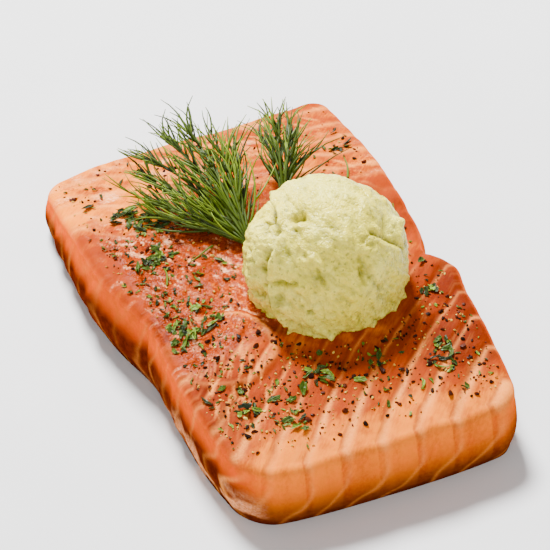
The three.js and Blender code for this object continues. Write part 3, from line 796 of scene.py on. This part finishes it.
def beside_run(p, run):
    """Distance in mm of points p on the ball from a run of directions, positive on its left."""
    stops = [direction_of(*place) * SCOOP["radius"] for place in run]
    away = np.full(len(p), 1e9)
    side = np.ones(len(p))
    for a, b in zip(stops, stops[1:]):
        t = np.clip((p - a) @ (b - a) / ((b - a) @ (b - a)), 0, 1)
        apart = np.linalg.norm(p - a - t[:, None] * (b - a), axis=1)
        side = np.where(apart < away, np.sign(p @ np.cross(a, b)), side)
        away = np.minimum(away, apart)
    return away * side


def scoop_marks(d, marks):
    """Sum of round marks at unit directions d, in mm."""
    total = np.zeros(len(d))
    for azimuth, elevation, spread, depth in marks:
        away = np.arccos(np.clip(d @ direction_of(azimuth, elevation), -1, 1))
        total += depth * hill(away, 0, math.radians(spread))
    return total


def scoop_cracks(p, ragged):
    """Depth in mm of the cracks at points p on the ball."""
    cracks = np.zeros(len(p))
    for run, width, deep in SCOOP_CRACKS:
        away = np.abs(beside_run(p, run)) + ragged
        cracks = np.maximum(cracks, deep * hill(away, 0, width))
    return cracks


def scoop_texture(d):
    """Scrape marks, crumbs and pits on the butter, in mm, and its painted shade: darker in hollows,
    lighter where raised.
    """
    p = d * SCOOP["radius"]

    def lumpy(size, seed):
        return fractal(*(p / size).T, seed=seed, octaves=2)

    ragged = 0.4 * lumpy(1.2, 110)
    cracks = scoop_cracks(p, ragged)
    dents = scoop_marks(d, SCOOP_DENTS)
    outer = -beside_run(p, SCOOP_LEDGE) + ragged
    sunk = ease(-0.3, 0.3, outer) * (1 - ease(2, LEDGE_REACH, outer))
    ledge = LEDGE_LIP * hill(outer, -0.8, 0.9) - LEDGE_DEPTH * sunk
    beyond = ease(0, 1.5, outer) * (1 - ease(LEDGE_REACH, 2 * LEDGE_REACH, outer))
    foot = 1 - ease(-0.35, -0.05, d[:, 2])
    crumbly = np.clip(beyond + ease(0, 0.5, lumpy(6, 76)) + foot, 0, 1)
    scrape = fractal((p @ SCRAPE_ACROSS) / 0.9, (p @ SCRAPE_ALONG) / 3.2, seed=60)
    lumps = lumpy(2.8, 64)
    crumbs = lumpy(1.1, 68)
    pits = np.clip(lumpy(1.3, 72) - 0.5 + 0.22 * crumbly, 0, 1)
    step = lumpy(4, 78)
    terraces = 0.24 * ease(-0.02, 0.04, step) + 0.2 * ease(0.25, 0.31, step)
    relief = 0.3 * scrape + 0.34 * lumps + (0.16 + 0.22 * crumbly) * crumbs - 1.8 * pits + terraces
    # Painted shade: dark in pits, cracks, sunken dents and beyond the ledge, lighter where raised and on
    # the ledge's lip.
    painted_shade = pits * 3 + 0.8 * cracks - 0.7 * dents - 0.4 * lumps - 0.5 * scrape - 0.6 * crumbs
    painted_shade = painted_shade + 1.1 * hill(outer, 1.1, 1.7) - 0.5 * hill(outer, -1, 0.8)
    painted_shade = painted_shade + PAINTED_SHADE_WEIGHT * scoop_marks(d, SCOOP_PAINTED_SHADE)
    return relief + ledge + dents - cracks, np.clip(painted_shade, 0, 1)


def unit_ball(detail):
    """Points and triangles of a ball of radius 1."""
    form = bmesh.new()
    bmesh.ops.create_icosphere(form, subdivisions=detail, radius=1)
    points = np.array([v.co[:] for v in form.verts])
    faces = [[v.index for v in f.verts] for f in form.faces]
    form.free()
    return points, faces


def scoop_centre():
    """Middle of the ball, SCOOP's lift above the flesh under it."""
    x, y = SCOOP["x"], SCOOP["y"]
    return np.array([x, y, float(top_height(x, y)) + SCOOP["lift"]])


def butter():
    """The scoop, ragged at its foot, which follows the flesh under it."""
    d, faces = unit_ball(SCOOP_DETAIL)
    d /= np.linalg.norm(d, axis=1)[:, None]
    relief, painted_shade = scoop_texture(d)
    plain = scoop_radius(d)
    radius = plain + relief
    around = np.arctan2(d[:, 1], d[:, 0])
    low = 1 - ease(-SCOOP["lift"], -SCOOP["lift"] + SKIRT["height"], plain * d[:, 2])
    ragged = 0.45 + 0.2 * np.sin(SKIRT["waves"] * around + 1)
    torn = 1.3 * fractal(around * 9, d[:, 2] * 9, seed=80)
    flat = np.hypot(d[:, 0], d[:, 1])
    flare = SKIRT["flare"] * (ragged + torn) * low * ease(*SKIRT["from"], flat)
    cx, cy, cz = scoop_centre()
    x = cx + d[:, 0] * (radius + flare)
    y = cy + d[:, 1] * (radius + flare)
    z = np.maximum(cz + d[:, 2] * radius, top_height(x, y) + 0.05)
    piece = add_mesh("herb_butter_scoop", np.stack([x, y, z], axis=1), faces)
    set_mask(piece, "painted_shade", painted_shade)
    piece.data.materials.append(butter_material())
    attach(piece, "root")
    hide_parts("pesto_butter")


# Toppings: the same herbs and pepper as on the solid, then finer ones.
# Clusters are x, y, spread and count.
HERB_CLUSTERS = [
    (-24, 33.5, 3.2, 9), (-20.5, 27.5, 3.6, 10), (-22, 15.5, 3, 6), (-27, 13.5, 2.5, 3),
    (-28.2, -13, 3.8, 13), (-20, -11.5, 1.8, 2), (-21.5, -6, 1.5, 1), (27.5, -21.5, 3.2, 6),
    (23.5, -39.5, 2, 3), (8, -37.5, 2.5, 2), (21.5, -45, 2.5, 3), (-6, -38, 3.4, 4),
    (-16, -49, 2.5, 4), (-24.5, -43, 2.5, 3), (31, 37, 2.5, 3),
]
TOPPING_SEED = 7
FLAKE_DRAWS = 7
GRAIN_DRAWS = 5
LOOSE_HERBS = 20
PEPPER_GRAINS = 40
HERB_LENGTH = (2, 4.2)
HERB_WIDTH = (0.9, 1.7)
HERB_CURL = 0.5
PEPPER_RADIUS = (0.55, 0.85)
SCOOP_GAP = 1.8
FRONT_GAP = 3
LOOSE_START = -16
LOOSE_REACH = 58

# Finer toppings, and their sizes: those of herbs are shares of a whole flake, the others radii in mm.
CLUSTER_SHARE = 2.4
CLUSTER_SPREAD = 1.35
CLUSTER_SIZES = (0.35, 0.85)
FINE_CLUSTERS = [
    (-27, 24, 5, 16), (-23, 8, 6, 34), (-29, 2, 4, 14), (-24, -6, 5, 26), (-14, -2, 5, 10),
    (-24, -44, 5, 14),
]
FINE_CLUSTER_SIZES = (0.2, 0.65)
FINE_HERBS = 300
FINE_HERB_SIZES = (0.16, 0.55)
FINE_PEPPER = 720
FINE_PEPPER_RADIUS = (0.2, 0.55)
GRANULES = 430
GRANULE_RADIUS = (0.18, 0.42)
FINE_REACH = 0.5


class Heap:
    """Collects many small closed shapes into one mesh piece."""

    def __init__(self):
        self.points = []
        self.faces = []
        self.tones = []
        self.total = 0

    def add(self, points, faces, tone):
        self.points.append(points)
        self.faces.extend([[self.total + k for k in face] for face in faces])
        self.tones.append(np.broadcast_to(tone, len(points)))
        self.total += len(points)

    def piece(self, name, material, slot, smooth=True):
        made = add_mesh(name, np.concatenate(self.points), self.faces, smooth)
        set_mask(made, "tone", np.concatenate(self.tones))
        made.data.materials.append(material)
        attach(made, "root")
        return made


def free_spot(x, y, reach):
    """True where a topping of the given reach is clear of the scoop and of the crest."""
    if from_scoop(x, y) < SCOOP["radius"] + SCOOP_GAP + reach:
        return False
    edge = CREST_INSET + 0.3 * reach
    if x < curve_at(LEFT_EDGE, y) + edge or x > curve_at(RIGHT_EDGE, y) - edge:
        return False
    return curve_at(FRONT_EDGE, x) + edge + FRONT_GAP < y < curve_at(BACK_EDGE, x) - edge


def solid_toppings():
    """Herb flakes and pepper grains where the solid has them. Some of its draws aren't used here."""
    draw = random_from(TOPPING_SEED)
    herbs = []
    pepper = []

    def flake(x, y):
        a, b, c, d, *_ = [next(draw) for _ in range(FLAKE_DRAWS)]
        length = between(*HERB_LENGTH, a)
        width = between(*HERB_WIDTH, b)
        herbs.append((x, y, length, width, math.pi * c, HERB_CURL * (d - 0.5)))

    def grain_at(x, y):
        a, *_ = [next(draw) for _ in range(GRAIN_DRAWS)]
        pepper.append((x, y, between(*PEPPER_RADIUS, a)))

    for cx, cy, spread, count in HERB_CLUSTERS:
        for n in range(count):
            angle = 2 * math.pi * next(draw)
            reach = spread * math.sqrt((n + 0.5) / count)
            x = cx + reach * math.cos(angle)
            y = cy + reach * math.sin(angle)
            if free_spot(x, y, 2):
                flake(x, y)
    loose = [(LOOSE_HERBS, 2, 0.5, flake), (PEPPER_GRAINS, 1, 0.7, grain_at)]
    for count, reach, front_share, make in loose:
        left = count
        while left:
            x = (next(draw) - 0.5) * WIDTH
            far = -LOOSE_REACH if next(draw) < front_share else LOOSE_REACH
            y = between(LOOSE_START, far, next(draw))
            if free_spot(x, y, reach):
                make(x, y)
                left -= 1
    return herbs, pepper


LEAF_STEPS = 11
LEAF_THICKNESS = 0.1
LEAF_LIFT = 1.1


def herb_flake(heap, place, rng):
    """One chopped leaf: a thin, crumpled scrap with a ragged outline, which rests at a tilt."""
    x, y, length, width, heading, curl = place
    turns = np.linspace(0, 2 * np.pi, LEAF_STEPS, endpoint=False)
    lobes = rng.uniform(0.55, 1.2, LEAF_STEPS)
    along = np.concatenate([[0], length / 2 * np.cos(turns) * lobes, length / 4 * np.cos(turns) * lobes])
    side = np.concatenate([[0], width / 2 * np.sin(turns) * lobes, width / 4 * np.sin(turns) * lobes])
    bend = heading + curl * along / (length / 2)
    px = x + along * np.cos(bend) - side * np.sin(bend)
    py = y + along * np.sin(bend) + side * np.cos(bend)
    fold = rng.uniform(-0.6, 0.9) * np.abs(side)
    tilt = rng.uniform(-0.5, 0.5) * side + rng.uniform(-0.3, 0.3) * along
    rise = fold + tilt + rng.uniform(-0.14, 0.14, len(px)) * width
    z = surface_height(px, py) + 0.06 + np.minimum(rise - rise.min(), LEAF_LIFT)
    upper = np.stack([px, py, z + LEAF_THICKNESS], axis=1)
    lower = np.stack([px, py, z], axis=1)
    size = len(px)
    faces = []
    for k in range(LEAF_STEPS):
        a, b = 1 + k, 1 + (k + 1) % LEAF_STEPS
        c, d = a + LEAF_STEPS, b + LEAF_STEPS
        faces += [[0, c, d], [c, a, b, d], [size, size + d, size + c]]
        faces += [[size + c, size + d, size + b, size + a], [a, size + a, size + b, b]]
    heap.add(np.concatenate([upper, lower]), faces, rng.uniform(0, 1) ** 1.3)


def small_flake(heap, rng, x, y, sizes):
    """A smaller scrap of the same leaves."""
    size = rng.uniform(*sizes)
    length = size * rng.uniform(*HERB_LENGTH)
    width = size * rng.uniform(*HERB_WIDTH)
    place = (x, y, length, width, rng.uniform(0, 2 * math.pi), rng.uniform(-0.4, 0.4))
    herb_flake(heap, place, rng)


def small_clusters(heap, rng, clusters, share, sizes):
    """Small scraps around each cluster, share times as many as it counts."""
    for cx, cy, spread, count in clusters:
        for _ in range(int(share * count)):
            angle = 2 * math.pi * rng.rand()
            reach = CLUSTER_SPREAD * spread * math.sqrt(rng.rand())
            x = cx + reach * math.cos(angle)
            y = cy + reach * math.sin(angle)
            if free_spot(x, y, FINE_REACH):
                small_flake(heap, rng, x, y, sizes)


def any_place(rng):
    """A place anywhere on the portion's box in plan."""
    x = (rng.rand() - 0.5) * WIDTH
    y = (rng.rand() - 0.5) * LENGTH
    return x, y


# Lone stalks of dill that lie on the flesh: both ends as x, y.
LONE_STALKS = [
    ((27.6, 23), (30.5, 32.5)),
    ((29.4, 2), (33.4, 10.1)),
    ((-10.5, 12.5), (-18, 9.5)),
    ((-25, 5), (-23.5, 11)),
]
STALK_RADIUS = 0.28
STALK_LIFT = 0.3


def lone_stalk(heap, start, end):
    """A short stalk, a little bent, which thins towards its end."""
    t = np.linspace(0, 1, 7)
    x = between(start[0], end[0], t) + 0.5 * np.sin(3 * t)
    y = between(start[1], end[1], t)
    z = surface_height(x, y) + STALK_LIFT * (1 + np.sin(5 * t))
    heap.add(*tapered_tube(np.stack([x, y, z], axis=1), STALK_RADIUS * (1 - 0.5 * t)), 0.7)


def herbs(flakes):
    """Chopped herbs, clustered and loose, and a few lone stalks."""
    rng = np.random.RandomState(TOPPING_SEED)
    heap = Heap()
    for place in flakes:
        herb_flake(heap, place, rng)
    small_clusters(heap, rng, HERB_CLUSTERS, CLUSTER_SHARE, CLUSTER_SIZES)
    small_clusters(heap, rng, FINE_CLUSTERS, 1, FINE_CLUSTER_SIZES)
    left = FINE_HERBS
    while left:
        x, y = any_place(rng)
        if rng.rand() < 1 - 0.7 * float(back_zone(x, y)) and free_spot(x, y, FINE_REACH):
            small_flake(heap, rng, x, y, FINE_HERB_SIZES)
            left -= 1
    for stalk in LONE_STALKS:
        lone_stalk(heap, *stalk)
    green = leaf_material("chopped_herb", (28, 38, 6), (62, 82, 14), (118, 142, 38))
    heap.piece("chopped_herbs", green, "dill", smooth=False)


def grain(heap, x, y, radius, rng, squash=0.75):
    """One cracked grain: a jittered ball with few faces, half sunk."""
    p, faces = unit_ball(1)
    p *= rng.uniform(0.6, 1.35, (len(p), 1))
    p *= np.array([rng.uniform(0.9, 1.4), rng.uniform(0.55, 1), squash]) * radius
    turn = rng.uniform(0, 2 * math.pi)
    c, s = math.cos(turn), math.sin(turn)
    p = p @ np.array([[c, s, 0], [-s, c, 0], [0, 0, 1]])
    p += (x, y, float(surface_height(x, y)) + 0.3 * radius)
    heap.add(p, faces, rng.rand() ** 1.4)


def pepper_share(x, y):
    """How thickly the pepper lies, 0 to 1."""
    front = float(front_zone(x, y))
    left = hill(x, -15, 17) * hill(y, -33, 15)
    right = 0.8 * hill(x, 28, 12) * hill(y, -37, 17)
    return 0.13 + 0.17 * float(raw_zone(x, y)) + front * (0.25 + 0.75 * max(left, right))


def scatter(heap, count, radii, seed, squash):
    """Fine grains, mostly small ones, thickest where the pepper is."""
    rng = np.random.RandomState(seed)
    left = count
    while left:
        x, y = any_place(rng)
        if rng.rand() < pepper_share(x, y) and free_spot(x, y, 0):
            grain(heap, x, y, between(*radii, rng.rand() ** 2.2), rng, squash)
            left -= 1


def pepper_and_granules(coarse):
    """The solid's own pepper grains, then finer ones, and the cream granules."""
    rng = np.random.RandomState(TOPPING_SEED)
    pepper = Heap()
    for x, y, radius in coarse:
        grain(pepper, x, y, radius, rng)
    scatter(pepper, FINE_PEPPER, FINE_PEPPER_RADIUS, seed=31, squash=0.7)
    dark = grain_material("cracked_pepper", (26, 14, 10), (88, 34, 16), 0.5)
    pepper.piece("cracked_pepper", dark, "dill", smooth=False)
    granules = Heap()
    scatter(granules, GRANULES, GRANULE_RADIUS, seed=37, squash=0.8)
    cream = grain_material("cream_granules", (196, 134, 40), (222, 190, 90), 0.45)
    granules.piece("cream_granules", cream, "herb_butter", smooth=False)


# Dill fronds: stems fan out from a root beside the scoop, with threads along both sides.
# A stem is heading in degrees from +X, reach and rise in mm, and the threads that the solid has.
FRONDS = [
    {
        "name": "dill_frond_left",
        "root": (-3.3, 7.6),
        "lift": 1.8,
        "seed": 11,
        "stems": [
            (128, 26, 0.5, 10), (121, 32, 1.5, 12), (114, 34, 4, 12), (107, 36, 7, 12),
            (99, 37, 10, 12), (91, 37, 11.5, 12), (83, 34, 11.5, 11), (75, 29, 8, 9),
        ],
    },
    {
        "name": "dill_frond_right",
        "root": (9.6, 18.2),
        "lift": 3,
        "seed": 23,
        "stems": [
            (82, 17, 6, 7), (72, 19, 10, 8), (60, 16, 8, 7), (47, 12, 4, 5),
        ],
    },
]
STEM_RADIUS = 0.45
THREAD_RADIUS = 0.27
THREAD_LENGTH = (7, 12)
THREAD_SPLAY = 18
FIRST_THREAD = 0.12
THREAD_SPAN = 0.86
THREAD_LIFT = (-0.12, 0.38)
THREAD_SHARES = (0.2, 0.4, 0.6, 0.8, 1.0)
DILL_GAP = 0.3
EDGE_GAP = 2

# Threads that only the dressed fronds have: how many for each of the solid's, and their draws.
EXTRA_THREADS = 2.5
EXTRA_LENGTH = (9, 18)
EXTRA_SPLAY = (5, 32)
EXTRA_LIFT = (-0.2, 0.5)
EXTRA_CURL = (-0.5, 0.5)
FORK_SHARE = 0.35
FORK_SPLAY = (8, 20)
FORK_LIFT = (-0.1, 0.4)


def clear_of_food(p, gap):
    """Keeps a point of the dill clear of the flesh and of the scoop."""
    centre = scoop_centre()
    away = p - centre
    reach = SCOOP["radius"] + SKIRT["flare"] + DILL_GAP + gap
    size = np.linalg.norm(away)
    if size < reach:
        p = centre + away * (reach / size)
    x = min(max(p[0], -WIDTH / 2), WIDTH / 2)
    y = min(p[1], float(curve_at(BACK_EDGE, x)) - EDGE_GAP)
    p[2] = max(p[2], float(top_height(x, y)) + 0.5 + gap)
    return p


def stem_point(frond, stem, t):
    """Point of a stem at share t of its reach: it rises over the flesh and sags a little at its tip."""
    heading, reach, rise, _ = stem
    a = math.radians(heading)
    rx, ry = frond["root"]
    x = rx + reach * t * math.cos(a)
    y = ry + reach * t * math.sin(a)
    foot = float(top_height(rx, ry))
    drop = foot - float(top_height(x, min(y, LENGTH / 2 - EDGE_GAP)))
    z = foot + frond["lift"] - drop * t * t + rise * t * (1.6 - 0.6 * t)
    return clear_of_food(np.array([x, y, z]), 0.6)


def tapered_tube(points, radii, sides=5):
    """A closed round tube through points, with its end drawn to a tip."""
    rings = []
    faces = []
    last = len(points) - 1
    turns = np.linspace(0, 2 * np.pi, sides, endpoint=False)
    for k, p in enumerate(points):
        forward = points[min(k + 1, last)] - points[max(k - 1, 0)]
        forward = forward / np.linalg.norm(forward)
        side = np.cross((0, 0, 1), forward)
        side = side / np.linalg.norm(side)
        up = np.cross(forward, side)
        rings.append(p + radii[k] * (np.cos(turns)[:, None] * side + np.sin(turns)[:, None] * up))
    for k in range(last):
        for n in range(sides):
            a = k * sides + n
            b = k * sides + (n + 1) % sides
            faces.append([a, b, b + sides, a + sides])
    faces.append(list(range(sides))[::-1])
    faces.append([last * sides + n for n in range(sides)])
    return np.concatenate(rings), faces


def thread_path(start, heading, splay, length, lift, curl):
    """Points of a thread that leaves at a slant and bends towards the stem's own heading."""
    points = [start]
    for share in THREAD_SHARES:
        turn = math.radians(heading + splay * (1 - 0.3 * share)) + curl * share * share
        step = np.array([math.cos(turn), math.sin(turn), lift + 0.15 * share])
        step = step / np.linalg.norm(step)
        points.append(clear_of_food(start + step * length * share, 0.1))
    return points


def add_thread(heap, points, thick, tone):
    """One thread: dark where it starts, light at its tip."""
    shares = np.linspace(0, 1, len(points))
    radii = THREAD_RADIUS * thick * (1 - 0.75 * shares**2)
    shape, faces = tapered_tube(points, radii)
    tones = np.repeat(tone - 0.15 + 0.4 * shares, len(shape) // len(points))
    heap.add(shape, faces, tones)


def own_threads(heap, frond, stem, draw, rng):
    """The threads that the solid has, in turn on the two sides of a stem."""
    heading, _, _, count = stem
    for n in range(count):
        t = FIRST_THREAD + THREAD_SPAN * (n + 0.5) / count
        length = between(*THREAD_LENGTH, next(draw)) * (1.1 - 0.35 * t)
        splay = (1 if n % 2 else -1) * THREAD_SPLAY * (0.6 + 0.7 * next(draw))
        lift = between(*THREAD_LIFT, next(draw))
        start = stem_point(frond, stem, t)
        points = thread_path(start, heading, splay, length, lift, rng.uniform(-0.2, 0.2))
        add_thread(heap, points, rng.uniform(0.9, 1.2), rng.uniform(0.3, 0.7))


def extra_threads(heap, frond, stem, rng):
    """Longer threads between the solid's own, some with a fork."""
    heading, _, _, count = stem
    for _ in range(int(EXTRA_THREADS * count)):
        t = rng.uniform(0.05, 0.95)
        length = rng.uniform(*EXTRA_LENGTH) * (1.15 - 0.55 * t)
        splay = rng.choice([-1, 1]) * rng.uniform(*EXTRA_SPLAY)
        start = stem_point(frond, stem, t)
        lift = rng.uniform(*EXTRA_LIFT)
        points = thread_path(start, heading, splay, length, lift, rng.uniform(*EXTRA_CURL))
        tone = rng.uniform(0.05, 0.8)
        add_thread(heap, points, rng.uniform(0.8, 1.25), tone)
        if rng.rand() < FORK_SHARE:
            side = rng.choice([-1, 1]) * rng.uniform(*FORK_SPLAY)
            lift = rng.uniform(*FORK_LIFT)
            fork = thread_path(points[2], heading + splay * 0.8, side, 0.6 * length, lift, 0)
            add_thread(heap, fork, 0.9, tone + 0.1)


def dill(frond, material):
    """One frond: its stems, then the threads of each stem."""
    draw = random_from(frond["seed"])
    rng = np.random.RandomState(frond["seed"])
    heap = Heap()
    shares = np.linspace(0, 1, 9)
    for stem in frond["stems"]:
        points = [stem_point(frond, stem, t) for t in shares]
        heap.add(*tapered_tube(points, STEM_RADIUS * (1 - 0.65 * shares)), 0.35)
    for stem in frond["stems"]:
        own_threads(heap, frond, stem, draw, rng)
        extra_threads(heap, frond, stem, rng)
    piece = heap.piece(frond["name"] + "_threads", material, "dill")
    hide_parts(frond["name"])


# Studio: floor, lights and camera. The floor and the lights are in metres, the camera in mm.
FLOOR_SIZE = 6
LIT_POINT = (0, 0, 0.02)
KEY_LIGHT = {"place": (0.06, 0.81, 1.02), "size": 0.4, "power": 75}
FILL_LIGHT = {"place": (-0.45, -1.05, 0.6), "size": 0.8, "power": 9}
SKY_STRENGTH = 0.45
AIM = (0, 1, 17)
VIEW_AZIMUTH = 20.94
VIEW_ELEVATION = 41
VIEW_DISTANCE = 1750
VIEW_ROLL = 2.8
FOCAL_LENGTH = 500
SENSOR_WIDTH = 36


def floor():
    """Plain pale paper under the portion."""
    half = FLOOR_SIZE / 2 / MM
    corners = [(-half, -half, 0), (half, -half, 0), (half, half, 0), (-half, half, 0)]
    piece = add_mesh("floor", corners, [[0, 1, 2, 3]])
    n = Nodes("floor_paper")
    fine = n.ramp(n.noise(0.02, detail=2), 0.3, 0.7)
    piece.data.materials.append(n.finish(n.mix(fine, (224, 224, 224), (228, 228, 228)), 0.8))


def area_light(name, place, size, power):
    """A soft disc that faces the portion."""
    data = bpy.data.lights.new(name, "AREA")
    data.shape = "DISK"
    data.size = size
    data.energy = power
    lamp = bpy.data.objects.new(name, data)
    bpy.context.scene.collection.objects.link(lamp)
    lamp.location = place
    aim = Vector(LIT_POINT) - Vector(place)
    lamp.rotation_euler = aim.to_track_quat("-Z", "Y").to_euler()


def studio():
    """Soft light from above and behind, a weak fill from the front left, and an even sky."""
    world = bpy.data.worlds.new("studio")
    bpy.context.scene.world = world
    world.use_nodes = True
    background = world.node_tree.nodes["Background"]
    background.inputs["Color"].default_value = (1, 1, 1, 1)
    background.inputs["Strength"].default_value = SKY_STRENGTH
    area_light("key", **KEY_LIGHT)
    area_light("fill", **FILL_LIGHT)


def camera():
    """A long lens, turned, tilted and rolled as in the photo."""
    data = bpy.data.cameras.new("camera")
    data.sensor_width = SENSOR_WIDTH
    data.lens = FOCAL_LENGTH
    data.clip_end = 20
    piece = bpy.data.objects.new("camera", data)
    bpy.context.scene.collection.objects.link(piece)
    a = math.radians(VIEW_AZIMUTH)
    e = math.radians(VIEW_ELEVATION)
    forward = Vector((math.sin(a) * math.cos(e), math.cos(a) * math.cos(e), -math.sin(e)))
    aim = forward.to_track_quat("-Z", "Y").to_matrix().to_4x4()
    roll = Matrix.Rotation(math.radians(-VIEW_ROLL), 4, "Z")
    place = Vector(AIM) * MM - forward * VIEW_DISTANCE * MM
    piece.matrix_world = Matrix.Translation(place) @ aim @ roll
    bpy.context.scene.camera = piece


def main():
    camera()
    flesh()
    butter()
    green = leaf_material("dill_green", (22, 31, 2), (62, 80, 5), (124, 146, 28))
    for frond in FRONDS:
        dill(frond, green)
    flakes, coarse = solid_toppings()
    herbs(flakes)
    pepper_and_granules(coarse)
    floor()
    studio()


main()
